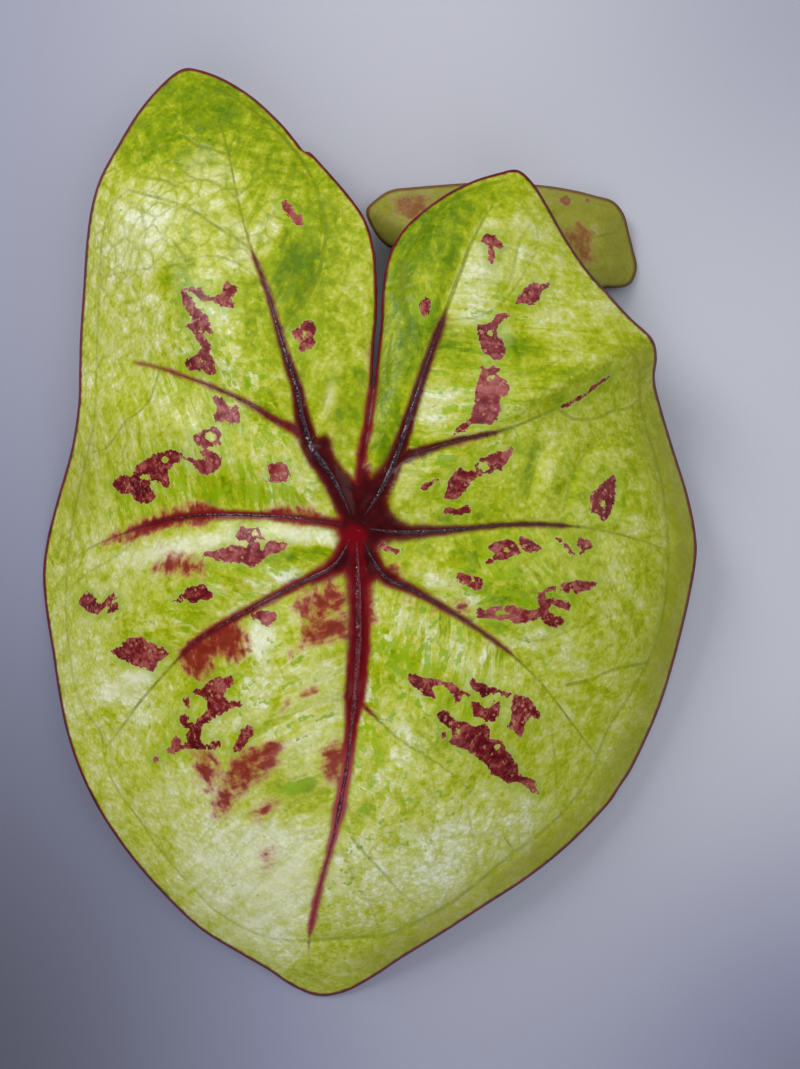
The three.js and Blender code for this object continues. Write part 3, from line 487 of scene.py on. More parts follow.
def set_camera():
    data = bpy.data.cameras.new("camera")
    data.lens = 27
    data.sensor_width = 36
    data.clip_start = 0.01
    camera = add_object("camera", data)
    camera.location = (SHIFT[0] * MM, SHIFT[1] * MM, SIGHT_Z * MM)
    bpy.context.scene.camera = camera


def set_lights():
    world = bpy.data.worlds.new("studio")
    world.use_nodes = True
    background = world.node_tree.nodes["Background"]
    background.inputs["Color"].default_value = (0.86, 0.91, 1, 1)
    background.inputs["Strength"].default_value = 0.09
    bpy.context.scene.world = world
    for name, place_at, size, power, color in (
        ("window", (-0.52, 0.44, 0.56), 0.4, 5.2, (1, 0.98, 0.95)),
        ("right wall", (0.60, 0.10, 0.56), 0.8, 3.2, (0.95, 0.97, 1)),
        ("near wall", (-0.04, -0.62, 0.54), 0.8, 3.3, (0.96, 0.97, 1)),
        ("far wall", (0.02, 0.58, 0.50), 0.6, 1.3, (0.97, 0.98, 1)),
        ("ceiling spot", (-0.10, 0.26, 0.62), 0.05, 0.2, (1, 1, 1)),
    ):
        data = bpy.data.lights.new(name, "AREA")
        data.shape = "DISK"
        data.size = size
        data.energy = power
        data.color = color
        lamp = add_object(name, data)
        lamp.location = place_at
        lamp.rotation_mode = "QUATERNION"
        lamp.rotation_quaternion = (-Vector(place_at)).to_track_quat("-Z", "Y")


# ---------------------------------------------------------------- node kit
def fill(tree, node, values):
    """Links inputs of a node to sockets, or gives them plain values."""
    for key, value in values.items():
        if isinstance(value, bpy.types.NodeSocket):
            tree.links.new(value, node.inputs[key])
        else:
            node.inputs[key].default_value = value


def add_node(tree, kind, values, settings):
    node = tree.nodes.new(kind)
    for key, value in settings.items():
        setattr(node, key, value)
    fill(tree, node, values)
    return node


def paint(code):
    """Linear colour from a six-digit hex code."""
    levels = [int(code[i:i + 2], 16) / 255 for i in (0, 2, 4)]
    return [v / 12.92 if v <= 0.04045 else ((v + 0.055) / 1.055) ** 2.4 for v in levels] + [1]


class Finish:
    """A node material, built step by step."""

    def __init__(self, name):
        self.material = bpy.data.materials.new(name)
        self.material.use_nodes = True
        self.tree = self.material.node_tree
        self.object = self.add("ShaderNodeTexCoord", {}, "Object")

    def add(self, kind, values, output, **settings):
        return add_node(self.tree, kind, values, settings).outputs[output]

    def attributes(self, *names):
        return [self.add("ShaderNodeAttribute", {}, "Fac", attribute_name=name) for name in names]

    def calc(self, operation, *values):
        return self.add("ShaderNodeMath", dict(enumerate(values)), 0, operation=operation)

    def times(self, first, second):
        return self.calc("MULTIPLY", first, second)

    def step(self, value, low, high, to_low=0.0, to_high=1.0):
        """Smooth step from to_low at low to to_high at high."""
        values = {"Value": value, "From Min": low, "From Max": high, "To Min": to_low, "To Max": to_high}
        return self.add("ShaderNodeMapRange", values, "Result", interpolation_type="SMOOTHSTEP")

    def span(self, value, low, high):
        """Plain share of the way from low to high."""
        values = {"Value": value, "From Min": low, "From Max": high}
        return self.add("ShaderNodeMapRange", values, "Result")

    def shift(self, value, amount, base):
        """Base raised or lowered by amount times how far value lies from one half."""
        return self.calc("MULTIPLY_ADD", self.calc("SUBTRACT", value, 0.5), amount, base)

    def blend(self, share, low, high):
        return self.add("ShaderNodeMix", {0: share, 6: low, 7: high}, 2, data_type="RGBA")

    def ramp(self, value, *stops):
        node = add_node(self.tree, "ShaderNodeValToRGB", {"Fac": value}, {})
        elements = node.color_ramp.elements
        for place_at, code in stops[1:-1]:
            elements.new(place_at).color = paint(code)
        for end in (0, -1):
            elements[end].position, elements[end].color = stops[end][0], paint(stops[end][1])
        return node.outputs["Color"]

    def grain(self, size, detail=2.0, vector=None, rough=0.55):
        """Noise whose lumps are about size metres across."""
        values = {"Vector": vector or self.object, "Scale": 1 / size, "Detail": detail, "Roughness": rough}
        return self.add("ShaderNodeTexNoise", values, "Fac")

    def cells(self, size, feature, vector=None):
        values = {"Vector": vector or self.object, "Scale": 1 / size}
        return self.add("ShaderNodeTexVoronoi", values, "Distance", feature=feature)

    def patches(self, size, vector):
        """Three random shares, each even over a squarish patch about size metres across."""
        values = {"Vector": vector, "Scale": 1 / size}
        patch = self.add("ShaderNodeTexVoronoi", values, "Color", distance="CHEBYCHEV")
        return add_node(self.tree, "ShaderNodeSeparateColor", {"Color": patch}, {}).outputs

    def swirl(self, reach):
        """Object place pushed about by up to reach metres, and the swirl that pushes it."""
        push = self.add("ShaderNodeTexNoise", {"Vector": self.object, "Scale": 300, "Detail": 3}, "Color")
        return self.pushed(push, reach, self.object), push

    def pushed(self, push, reach, vector):
        return self.add("ShaderNodeVectorMath", {0: push, 1: (reach, reach, 0), 2: vector}, "Vector",
                        operation="MULTIPLY_ADD")

    def mapped(self, **values):
        return self.add("ShaderNodeMapping", {"Vector": self.object, **values}, "Vector")

    def stretch(self, vector, across, along):
        """Texture place whose lumps are across by along metres."""
        return self.add("ShaderNodeVectorMath", {0: vector, 1: (1 / across, 1 / along, 0)}, "Vector",
                        operation="MULTIPLY")

    def bump(self, height, distance, strength=1.0):
        values = {"Height": height, "Distance": distance, "Strength": strength}
        return self.add("ShaderNodeBump", values, "Normal")

    def finish(self, **values):
        shader = self.tree.nodes["Principled BSDF"]
        fill(self.tree, shader, {key.replace("_", " "): value for key, value in values.items()})
        return self.material


# ---------------------------------------------------------------- drawing kit
def smooth(points, fine=CURVE_STEPS):
    """Dense polyline of a smooth curve through points."""
    p = np.asarray(points, float)
    p = np.vstack([2 * p[0] - p[1], p, 2 * p[-1] - p[-2]])
    t = (np.arange(fine) / fine)[:, None]
    rows = []
    for a, b, c, d in zip(p, p[1:], p[2:], p[3:]):
        rows.append(0.5 * (2 * b + (c - a) * t + (2 * a - 5 * b + 4 * c - d) * t * t
                           + (3 * b - a - 3 * c + d) * t * t * t))
    rows.append(p[-2:-1])
    return np.vstack(rows)


class Line:
    """A polyline that is read by its share of length."""

    def __init__(self, points):
        self.points = np.asarray(points, float)
        gaps = np.hypot(*(self.points[1:, :2] - self.points[:-1, :2]).T)
        self.run = np.concatenate([[0], np.cumsum(gaps)])
        self.length = self.run[-1]

    def at(self, share):
        want = np.clip(share, 0, 1) * self.length
        return np.stack([np.interp(want, self.run, column) for column in self.points.T], -1)


def bell(away, wide):
    """One at 0, falling softly to little past wide."""
    return np.exp(-(away / wide) ** 2)


def smooth_share(share):
    share = min(1, max(0, share))
    return share * share * (3 - 2 * share)


def nearest(xy, line):
    """Distance of each point to a polyline, and how far along it the nearest place lies."""
    best = np.full(len(xy), 1e9)
    along = np.zeros(len(xy))
    for i in range(len(line.points) - 1):
        a = line.points[i, :2]
        d = line.points[i + 1, :2] - a
        share = np.clip(((xy - a) @ d) / (d @ d), 0, 1)
        gap = np.hypot(xy[:, 0] - a[0] - share * d[0], xy[:, 1] - a[1] - share * d[1])
        closer = gap < best
        best[closer] = gap[closer]
        along[closer] = (line.run[i] + share * (line.run[i + 1] - line.run[i]))[closer]
    return best, along


def box_round(xy, shape, reach):
    """Which points lie in the upright box round a shape, made wider by reach."""
    return np.all((xy > shape.min(0) - reach) & (xy < shape.max(0) + reach), axis=1)


def nearby(xy, line):
    """As nearest, but only worked out within LINE_REACH of the line, else LINE_REACH itself."""
    box = box_round(xy, line.points[:, :2], LINE_REACH)
    gap, along = np.full(len(xy), LINE_REACH), np.zeros(len(xy))
    if box.any():
        gap[box], along[box] = nearest(xy[box], line)
    return np.minimum(gap, LINE_REACH), along


def inside_by(xy, outline):
    """How deep each point lies inside an outline, negative outside, no lower than -MARK_REACH."""
    shape = np.asarray(outline, float)
    depth = np.full(len(xy), -MARK_REACH)
    near = box_round(xy, shape, MARK_REACH)
    p = xy[near]
    if not len(p):
        return depth
    inside = np.zeros(len(p), bool)
    for (ax, ay), (bx, by) in zip(shape, np.roll(shape, -1, 0)):
        crosses = (ay > p[:, 1]) != (by > p[:, 1])
        if ay != by:
            inside ^= crosses & (p[:, 0] < ax + (bx - ax) * (p[:, 1] - ay) / (by - ay))
    gap = nearest(p, Line(np.vstack([shape, shape[:1]])))[0]
    depth[near] = np.where(inside, gap, -np.minimum(gap, MARK_REACH))
    return depth


def spots(xy, rows, ground, weight):
    """Weighted mean of soft oval spots over a ground value."""
    total = np.full(len(xy), weight)
    value = total * ground
    for x, y, wide, tall, turn, amount in rows:
        c, s = math.cos(math.radians(turn)), math.sin(math.radians(turn))
        dx, dy = xy[:, 0] - x, xy[:, 1] - y
        share = np.exp(-((dx * c + dy * s) / wide) ** 2 - ((dy * c - dx * s) / tall) ** 2)
        total += share
        value += share * amount
    return value / total


def place(x, y, z):
    """Chart marks and a height in mm to metres in the plant's frame."""
    k = (SIGHT_Z - z) / (SIGHT_Z - CHART_Z)
    return np.stack([k * (x - CHART[0]) / MARKS + SHIFT[0], k * (CHART[1] - y) / MARKS + SHIFT[1], z],
                    -1) * MM


# ---------------------------------------------------------------- blade shape
class Leaf:
    """The form of one blade, by panel between two ribs, f across the panel and t out to the edge."""

    def __init__(self, spec):
        self.spec = spec
        start = list(spec["junction"][:2])
        self.ribs = []
        for rib in spec["ribs"]:
            knots = [start, *rib["path"], spec["rim"][rib["rim"]][:2]]
            cut = rib.get("slit")
            parts = [knots[:cut + 1], knots[cut:]] if cut else [knots]
            self.ribs.append([Line(smooth(part)) for part in parts])
        outline = smooth(spec["rim"])
        ends = [rib["rim"] * CURVE_STEPS for rib in spec["ribs"]]
        self.edges = [Line(outline[a:b + 1]) for a, b in zip(ends, ends[1:])]
        self.side = [Line(smooth(rib["path"], 8)) for rib in spec["side"]]
        # every fourth point of a main rib is enough to measure from
        self.main = [Line(np.vstack([p.points for p in parts])[::4]) for parts in self.ribs]
        self.veins, self.folds = ([(Line(smooth(path, 6)), *rest) for path, *rest in spec[kind]]
                                  for kind in ("veins", "folds"))
        self.banded = [*zip(spec["ribs"], self.main), *zip(spec["side"], self.side)]

    def rib_at(self, i, t):
        """Place on a rib. At a slit its first part ends at the slit's start."""
        parts = self.ribs[i]
        cut = self.spec["slit_at"]
        if len(parts) == 1:
            return parts[0].at(t)
        return parts[0].at(t / cut) if t < cut else parts[1].at((t - cut) / (1 - cut))

    def point(self, panel, f, t):
        """Chart x, y and height for an array f at one t."""
        spec = self.spec
        a, b = spec["ribs"][panel], spec["ribs"][panel + 1]
        start, stop = self.rib_at(panel, t), self.rib_at(panel + 1, t)
        far_start, far_stop = self.rib_at(panel, 1.0), self.rib_at(panel + 1, 1.0)
        edge = self.edges[panel].at(f)
        across = f[:, None]
        xy = (start + (stop - start) * across
              + t * t * (edge[:, :2] - far_start - (far_stop - far_start) * across))
        s = f * f * (3 - 2 * f)
        turn, rise = (a[key] + (b[key] - a[key]) * s for key in ("turn", "rise"))
        # the arch is about as high as the bulge halfway out, and flat round the junction
        arch = np.sin(np.pi * f) * spec["bulge"][panel] * t ** 0.9 * (1 - t) ** 0.6 * 1.9
        arch = arch * smooth_share(t / 0.28)
        z = spec["junction"][2] + (edge[:, 2] - spec["junction"][2]) * t ** turn
        z = z + rise * 4 * t * (1 - t) + arch
        return np.column_stack([xy, z])

    def weave(self, panel, f, t):
        """Coordinates in mm that follow the side veins: across them, and along them over the panel.

        The second one is moved on by 120 mm for each panel, so that no two panels share a place.
        """
        reach = [sum(p.length for p in self.ribs[i]) / MARKS for i in (panel, panel + 1)]
        wide = np.hypot(*(self.rib_at(panel + 1, t) - self.rib_at(panel, t))[:2]) / MARKS
        out = t * (reach[0] + (reach[1] - reach[0]) * f)
        return np.column_stack([out - VEIN_SLANT * np.minimum(f, 1 - f) * wide, f * wide + 120 * panel])

    def relief(self, xy, z, edge, pleat):
        """Grooves, ribs, folds, pleats and a curled edge on top of the plain form, in mm."""
        spec = self.spec
        lift = np.zeros(len(xy))
        if self.side:
            gap = np.min([nearest(xy, line)[0] for line in self.side], axis=0) / MARKS
            lift -= spec["groove"] * bell(gap, spec["groove_wide"])
        # main ribs stand up along their dark band, lower and lower outwards, and lie in a dent past it
        for rib, line in zip(spec["ribs"], self.main):
            gap, along = nearest(xy, line)
            t = along / line.length
            half = spec["rib_half"][0] + (spec["rib_half"][1] - spec["rib_half"][0]) * t
            high = 0.24 * rib["ridge"] * np.minimum(1, t * 6) * (1 - 0.7 * t)
            high = np.where(along > rib["fade"], -0.25 * spec["pucker"], high)
            lift += high * bell(gap / MARKS, half)
        # folds start and end over 20 chart marks
        for line, half, high in self.folds:
            gap, along = nearby(xy, line)
            ends = np.minimum(1, np.minimum(along, line.length - along) / 20 + 0.15)
            lift += high * ends * bell(gap / MARKS, half)
        # fine veins lie in dents of 1.3 mm half width
        near = np.full(len(xy), LINE_REACH)
        for line, *_ in self.veins:
            near = np.minimum(near, nearby(xy, line)[0])
        lift -= 0.2 * spec["pucker"] * bell(near / MARKS, 1.3)
        # lumps 26 and 10 chart marks wide and the pleats grow to their full height 18 mm from the junction
        small = np.array([noise.noise(Vector((x / 26, y / 26, 3.1)))
                          + 0.5 * noise.noise(Vector((x / 10, y / 10, 8.7))) for x, y in xy])
        from_hub = np.hypot(*(xy - spec["junction"][:2]).T) / MARKS
        lift += (0.36 * small + 0.2 * pleat) * spec["pucker"] * np.minimum(1, from_hub / 18)
        # the last 5.5 mm curl down where the blade lies more than 2 mm over the floor
        high_up = np.clip((z - 2) / 5, 0, 1)
        return lift - spec["curl"] * high_up * np.clip(1 - edge / MARKS / 5.5, 0, 1) ** 1.7

    def laterals(self, gap):
        """Side veins of the underside, which leave the main ribs at a slant."""
        rows = []
        for panel in range(len(self.spec["ribs"]) - 1):
            narrow = panel in (0, len(self.spec["ribs"]) - 2)
            for side in (0, 1):
                if narrow and side == (panel > 0):
                    continue
                reach = sum(p.length for p in self.ribs[panel + side]) / MARKS
                # the first vein leaves a tenth of the way out, the last one short of the edge
                for i in range(1, int(0.8 * reach / gap)):
                    t0 = 0.1 + i * gap / reach
                    path = []
                    for f in np.linspace(0, 0.85 if narrow else 0.47, 16):
                        share = 1 - f if side else f
                        t = t0
                        for _ in range(3):
                            wide = np.hypot(*(self.rib_at(panel + 1, t) - self.rib_at(panel, t))) / MARKS
                            t = min(0.95, t0 + VEIN_SLANT * f * wide / reach)
                        path.append(self.point(panel, np.array([share]), t)[0])
                        if t > 0.94:
                            break
                    if len(path) > 3:
                        rows.append(np.array(path))
        return rows


def sheet(leaf, step_out, step_across):
    """Open sheet of a blade: chart places, triangles with their weave, and the border as a loop."""
    spec = leaf.spec
    panels = len(spec["ribs"]) - 1
    reach = max(sum(p.length for p in parts) for parts in leaf.ribs) / MARKS
    levels = 2 * round(reach / step_out / 2)   # an even number, so that one falls near the slit's start
    slit_level = round(spec["slit_at"] * levels)
    rows, weaves = [np.array([spec["junction"]], float)], [np.zeros((1, 2))]
    # for each level and panel: numbers of its points, their shares across, and their weave
    rings = [[(np.array([0]), np.array([0.0]), leaf.weave(panel, np.array([0.0]), 0.0))
              for panel in range(panels)]]
    envelope = [np.zeros(1)]
    count = 1
    for level in range(1, levels + 1):
        t = spec["slit_at"] if level == slit_level else level / levels
        ring = []
        for panel in range(panels):
            middle = leaf.point(panel, np.linspace(0, 1, 9), t)
            number = max(1, round(Line(middle).length / MARKS / step_across))
            f = np.linspace(0, 1, number + 1)
            new, woven = leaf.point(panel, f, t), leaf.weave(panel, f, t)
            first = 1 if panel else 0
            own = np.arange(count, count + len(f) - first)
            rows.append(new[first:])
            weaves.append(woven[first:])
            envelope.append((np.sin(np.pi * f) ** 0.5 * (1 - 0.5 * t))[first:])
            count += len(own)
            ring.append((np.concatenate([ring[-1][0][-1:], own]) if panel else own, f, woven))
        rings.append(ring)
    faces, woven = [], []
    for level in range(1, levels + 1):
        for panel in range(panels):
            (near, near_f, near_w), (far, far_f, far_w) = rings[level - 1][panel], rings[level][panel]
            i = j = 0
            while i < len(near) - 1 or j < len(far) - 1:
                next_far = far_f[j + 1] if j < len(far) - 1 else 2
                next_near = near_f[i + 1] if i < len(near) - 1 else 2
                if next_far <= next_near:
                    faces.append((near[i], far[j], far[j + 1]))
                    woven.append((near_w[i], far_w[j], far_w[j + 1]))
                    j += 1
                else:
                    faces.append((near[i], far[j], near[i + 1]))
                    woven.append((near_w[i], far_w[j], near_w[i + 1]))
                    i += 1
        if level <= slit_level:
            far_a, far_b = far[-1], rings[level][0][0][0]
            near_a, near_b = near[-1], rings[level - 1][0][0][0]
            faces.append((near_a, far_a, far_b))
            woven.append((near_w[-1], far_w[-1], far_w[-1]))
            if level > 1:
                faces.append((near_a, far_b, near_b))
                woven.append((near_w[-1], far_w[-1], near_w[-1]))
    border = [rings[level][0][0][0] for level in range(slit_level, levels)]
    for row, *_ in rings[levels]:
        border.extend(row[:-1])
    border.extend(rings[level][-1][0][-1] for level in range(levels, slit_level - 1, -1))
    border = np.array(border)
    flat = np.vstack(rows)
    weaves = np.vstack(weaves)
    loop = np.append(border, border[0])
    # every third point of a fine border is enough to measure from
    edge = nearest(flat[:, :2], Line(flat[loop, :2][::3 if step_out < 1 else 1]))[0]
    # pleats 3.1 mm wide and 24 mm long
    pleat = np.array([noise.noise(Vector((w / 3.1, s / 24, 4.4))) for w, s in weaves])
    flat[:, 2] += leaf.relief(flat[:, :2], flat[:, 2], edge, pleat * np.concatenate(envelope) * 1.6)
    return flat, np.array(faces), border, np.array(woven), edge


def normals_of(points, faces):
    """Unit normal at each point, from the faces round it weighed by their size."""
    a, b, c = points[faces[:, 0]], points[faces[:, 1]], points[faces[:, 2]]
    face = np.cross(b - a, c - a)
    total = np.zeros_like(points)
    for i in range(3):
        np.add.at(total, faces[:, i], face)
    return total / np.linalg.norm(total, axis=1)[:, None]


def zip_up(upper, lower, points):
    """Triangles between two closed borders that run the same way."""
    def shares(loop):
        p = points[np.append(loop, loop[0])]
        run = np.concatenate([[0], np.cumsum(np.linalg.norm(p[1:] - p[:-1], axis=1))])
        return run / run[-1]
    up, low = shares(upper), shares(lower)
    faces = []
    i = j = 0
    while i < len(upper) or j < len(lower):
        a, b = upper[i % len(upper)], lower[j % len(lower)]
        if j >= len(lower) or (i < len(upper) and up[i + 1] <= low[j + 1]):
            faces.append((a, b, upper[(i + 1) % len(upper)]))
            i += 1
        else:
            faces.append((a, b, lower[(j + 1) % len(lower)]))
            j += 1
    return faces


def plain_mesh(name, points, faces, materials, face_material=None):
    mesh = bpy.data.meshes.new(name)
    mesh.from_pydata([tuple(p) for p in points], [], [tuple(int(i) for i in f) for f in faces])
    for material in materials:
        mesh.materials.append(material)
    if face_material is not None:
        mesh.polygons.foreach_set("material_index", np.asarray(face_material, np.int32))
    mesh.polygons.foreach_set("use_smooth", np.ones(len(mesh.polygons), bool))
    mesh.update()
    return add_object(name, mesh)


def mark(mesh, name, values):
    """Writes one value a point, which the materials read by name."""
    layer = mesh.attributes.new(name, "FLOAT", "POINT")
    layer.data.foreach_set("value", np.asarray(values, np.float32))


def width_at(wide, along):
    """Width along a line, read from rows of distance and width."""
    return np.interp(along, *np.transpose(wide))


def past_band(rib, along):
    """From 0 along a rib's dark band to 1 past its end."""
    return np.clip((along - rib["fade"] + BAND_END / 2) / BAND_END, 0, 1)


def band_depth(leaf, xy):
    """Depth in mm inside the dark bands of the ribs, and how crimson the nearest band is."""
    depth = np.full(len(xy), -MARK_REACH)
    red = np.zeros(len(xy))
    for rib, line in leaf.banded:
        gap, along = nearest(xy, line)
        own = width_at(rib["wide"], along) / 2 - gap - 7 * past_band(rib, along)
        better = own > depth
        depth[better] = own[better]
        red[better] = rib["red"]
    return depth / MARKS, red


def vein_depth(leaf, xy):
    """Depth in mm inside the fine veins and the far ends of the ribs, and how dark they are there."""
    # a band goes on as a thin vein past its fade, and every such vein grows faint at its far end
    outside = -10.0
    depth, dark = np.full(len(xy), outside), np.zeros(len(xy))
    rows = [(line, [[0, a], [line.length, b]], shade, 0) for line, a, b, shade in leaf.veins]
    for rib, line in leaf.banded:
        rows.append((line, np.array(rib["wide"], float) * [1, 0.9], 0.65, rib["fade"] - 20))
    for line, wide, shade, start in rows:
        gap, along = nearby(xy, line)
        left = np.clip((line.length - along) / 60 - 0.3, 0, 1) if start else 1
        half = np.maximum(0.8, 0.36 * width_at(wide, along))
        own = np.where(along >= start, half - gap, outside * MARKS)
        better = own > depth
        depth[better] = own[better]
        dark[better] = (shade * left * np.ones(len(xy)))[better]
    return depth / MARKS, dark


def mark_blade(leaf, mesh, marks, xy, from_edge):
    """Writes what the materials read: depth in mm inside each marking, and strength from 0 to about 1."""
    bands, red = band_depth(leaf, xy)
    if marks["heart"]:
        bands = np.maximum(bands, 0.8 * inside_by(xy, marks["heart"]) / MARKS)
    # the crimson and the brown haze are strongest just below the junction
    from_hub = np.hypot(*(xy - [leaf.spec["junction"][0] - 2, leaf.spec["junction"][1] + 10]).T)
    blotch = np.max([inside_by(xy, outline) for outline in marks["blotches"]], axis=0)
    for x, y, wide, tall in marks["islands"]:
        hole = 1 - np.hypot((xy[:, 0] - x) / wide, (xy[:, 1] - y) / tall)
        blotch = np.minimum(blotch, -hole * min(wide, tall))
    # a flush is at half strength on its outline, and full or gone 9 chart marks to either side
    flush = np.zeros(len(xy))
    for outline, strength in marks["flushes"]:
        flush = np.maximum(flush, strength * np.clip((inside_by(xy, outline) + 9) / 18, 0, 1))
    veins, dark = vein_depth(leaf, xy)
    for name, values in dict(
        band=bands,
        red=np.maximum(red, 1.3 * bell(from_hub, 25)),
        glow=bell(from_hub, marks["glow"]),
        vein=veins,
        vein_dark=dark,
        blotch=blotch / MARKS,
        flush=flush,
        tone=spots(xy, marks["tones"], marks["ground"], 0.22),
        fleck=spots(xy, marks["flecks"], 0, 0.3) * 1.2,
        netted=spots(xy, marks["netted"], 0.12, 0.3),
        # whitish stretches: pale cream in part, painted sheen in part
        pale_and_painted_sheen=spots(xy, marks["pales_and_sheen"], 0, 0.3) * 1.2,
        olive=spots(xy, marks["olives"], 0, 0.3) * 1.25,
        edge=from_edge,
    ).items():
        mark(mesh, name, values)


def make_blade(leaf, materials, marks, fine, coarse):
    """Closed blade: a fine upper face, a coarser underside, and a rounded edge between them."""
    spec = leaf.spec
    upper, upper_faces, upper_border, upper_weave, upper_edge = sheet(leaf, *fine)
    lower, lower_faces, lower_border, lower_weave, lower_edge = sheet(leaf, *coarse)
    top, low = place(*upper.T), place(*lower.T)
    top_normal, low_normal = normals_of(top, upper_faces), normals_of(low, lower_faces)
    hub = HUB_DEPTH * bell(np.linalg.norm(low - low[0], axis=1) / MM, spec["hub_wide"])
    low = low - low_normal * ((SKIN + hub) * MM)[:, None]

    rim_swell = 0.14
    rim = top[upper_border]
    following = np.roll(rim, -1, 0) - np.roll(rim, 1, 0)
    outward = np.cross(following, top_normal[upper_border])
    outward /= np.linalg.norm(outward, axis=1)[:, None]
    middle = rim - top_normal[upper_border] * (0.5 * SKIN * MM) + outward * (rim_swell * MM)

    first_low, first_middle = len(top), len(top) + len(low)
    points = np.vstack([top, low, middle])
    points[:, 2] = np.maximum(points[:, 2], FLOOR_GAP * MM)
    middle_border = first_middle + np.arange(len(upper_border))
    low_border = lower_border + first_low
    seam = []
    for a, b, c, d in zip(upper_border, middle_border,
                          np.roll(upper_border, -1), np.roll(middle_border, -1)):
        seam += [(a, b, d), (a, d, c)]
    seam += zip_up(middle_border, low_border, points)
    under = (lower_faces + first_low)[:, [0, 2, 1]]
    faces = np.vstack([upper_faces, seam, under])
    kinds = np.concatenate([np.zeros(len(upper_faces) + len(seam)), np.ones(len(under))])
    piece = plain_mesh(spec["name"] + "_leaf", points, faces, materials, kinds)
    woven = np.vstack([upper_weave, np.zeros((len(seam), 3, 2)), lower_weave[:, [0, 2, 1]]])
    mesh = piece.data
    cloth = mesh.uv_layers.new(name="weave")
    cloth.data.foreach_set("uv", (woven * MM).astype(np.float32).ravel())

    chart = np.vstack([upper, lower, upper[upper_border]])[:, :2]
    from_edge = np.concatenate([upper_edge, lower_edge, np.zeros(len(middle))]) / MARKS
    mark_blade(leaf, mesh, marks, chart, from_edge)
    return piece, dict(upper=(upper, top, upper_faces), lower=(lower, low, lower_faces))


class Seat:
    """Finds the place on a blade's face for a chart point."""

    def __init__(self, flat, points, faces):
        self.flat = [Vector((x, y, 0)) for x, y in flat[:, :2]]
        self.points = [Vector(p) for p in points]
        self.faces = [tuple(int(i) for i in f) for f in faces]
        self.search = BVHTree.FromPolygons(self.flat, self.faces)

    def at(self, x, y):
        hit, _, index, _ = self.search.find_nearest(Vector((x, y, 0)))
        a, b, c = self.faces[index]
        spot = geometry.barycentric_transform(hit, self.flat[a], self.flat[b], self.flat[c],
                                              self.points[a], self.points[b], self.points[c])
        normal = (self.points[b] - self.points[a]).cross(self.points[c] - self.points[a]).normalized()
        return spot, normal


# ---------------------------------------------------------------- ribs by Geometry Nodes
def rib_tree():
    """Tapered ribs along every line of a wire mesh. Its points carry wide, in metres, as half width."""
    tree = bpy.data.node_groups.new("tapered ribs", "GeometryNodeTree")
    for name, way, kind, value in (
        ("Wire", "INPUT", "Geometry", None),
        ("Sides", "INPUT", "Int", 8),
        ("Height share", "INPUT", "Float", 0.6),
        ("Uneven share", "INPUT", "Float", 0.12),
        ("Lumps per metre", "INPUT", "Float", 160),
        ("Skin", "INPUT", "Material", None),
        ("Ribs", "OUTPUT", "Geometry", None),
    ):
        socket = tree.interface.new_socket(name, in_out=way, socket_type="NodeSocket" + kind)
        if value is not None:
            socket.default_value = value

    def add(kind, values, output=0, **settings):
        return add_node(tree, kind, values, settings).outputs[output]

    def calc(operation, *values):
        return add("ShaderNodeMath", dict(enumerate(values)), operation=operation)

    given = tree.nodes.new("NodeGroupInput").outputs
    wire = add("GeometryNodeMeshToCurve", {"Mesh": given["Wire"]}, "Curve")
    upright = add("GeometryNodeSetCurveNormal", {"Curve": wire}, "Curve", mode="Z_UP")

    wide = add("GeometryNodeInputNamedAttribute", {"Name": "wide"}, "Attribute", data_type="FLOAT")
    spot = add("GeometryNodeInputPosition", {}, "Position")
    ripple = add("ShaderNodeTexNoise", {"Scale": given["Lumps per metre"], "Vector": spot}, "Fac",
                 noise_dimensions="3D")
    share = calc("MULTIPLY_ADD", calc("SUBTRACT", ripple, 0.5), given["Uneven share"], 1)
    radius = add("GeometryNodeSetCurveRadius",
                 {"Curve": upright, "Radius": calc("MULTIPLY", wide, share)}, "Curve")

    ring = add("GeometryNodeCurvePrimitiveCircle", {"Radius": 1, "Resolution": given["Sides"]}, "Curve")
    scale = add("ShaderNodeCombineXYZ", {"X": 1, "Y": given["Height share"], "Z": 1}, "Vector")
    press = add("GeometryNodeTransform", {"Geometry": ring, "Scale": scale}, "Geometry")

    sweep = add_node(tree, "GeometryNodeCurveToMesh",
                     {"Curve": radius, "Profile Curve": press, "Fill Caps": True}, {})
    if "Scale" in sweep.inputs:
        fill(tree, sweep, {"Scale": add("GeometryNodeInputRadius", {}, "Radius")})
    shade = add("GeometryNodeSetShadeSmooth", {"Geometry": sweep.outputs["Mesh"]}, "Geometry")
    whole = add("GeometryNodeRealizeInstances", {"Geometry": shade}, "Geometry")
    skin = add("GeometryNodeSetMaterial", {"Geometry": whole, "Material": given["Skin"]}, "Geometry")
    add_node(tree, "NodeGroupOutput", {"Ribs": skin}, {})
    return tree


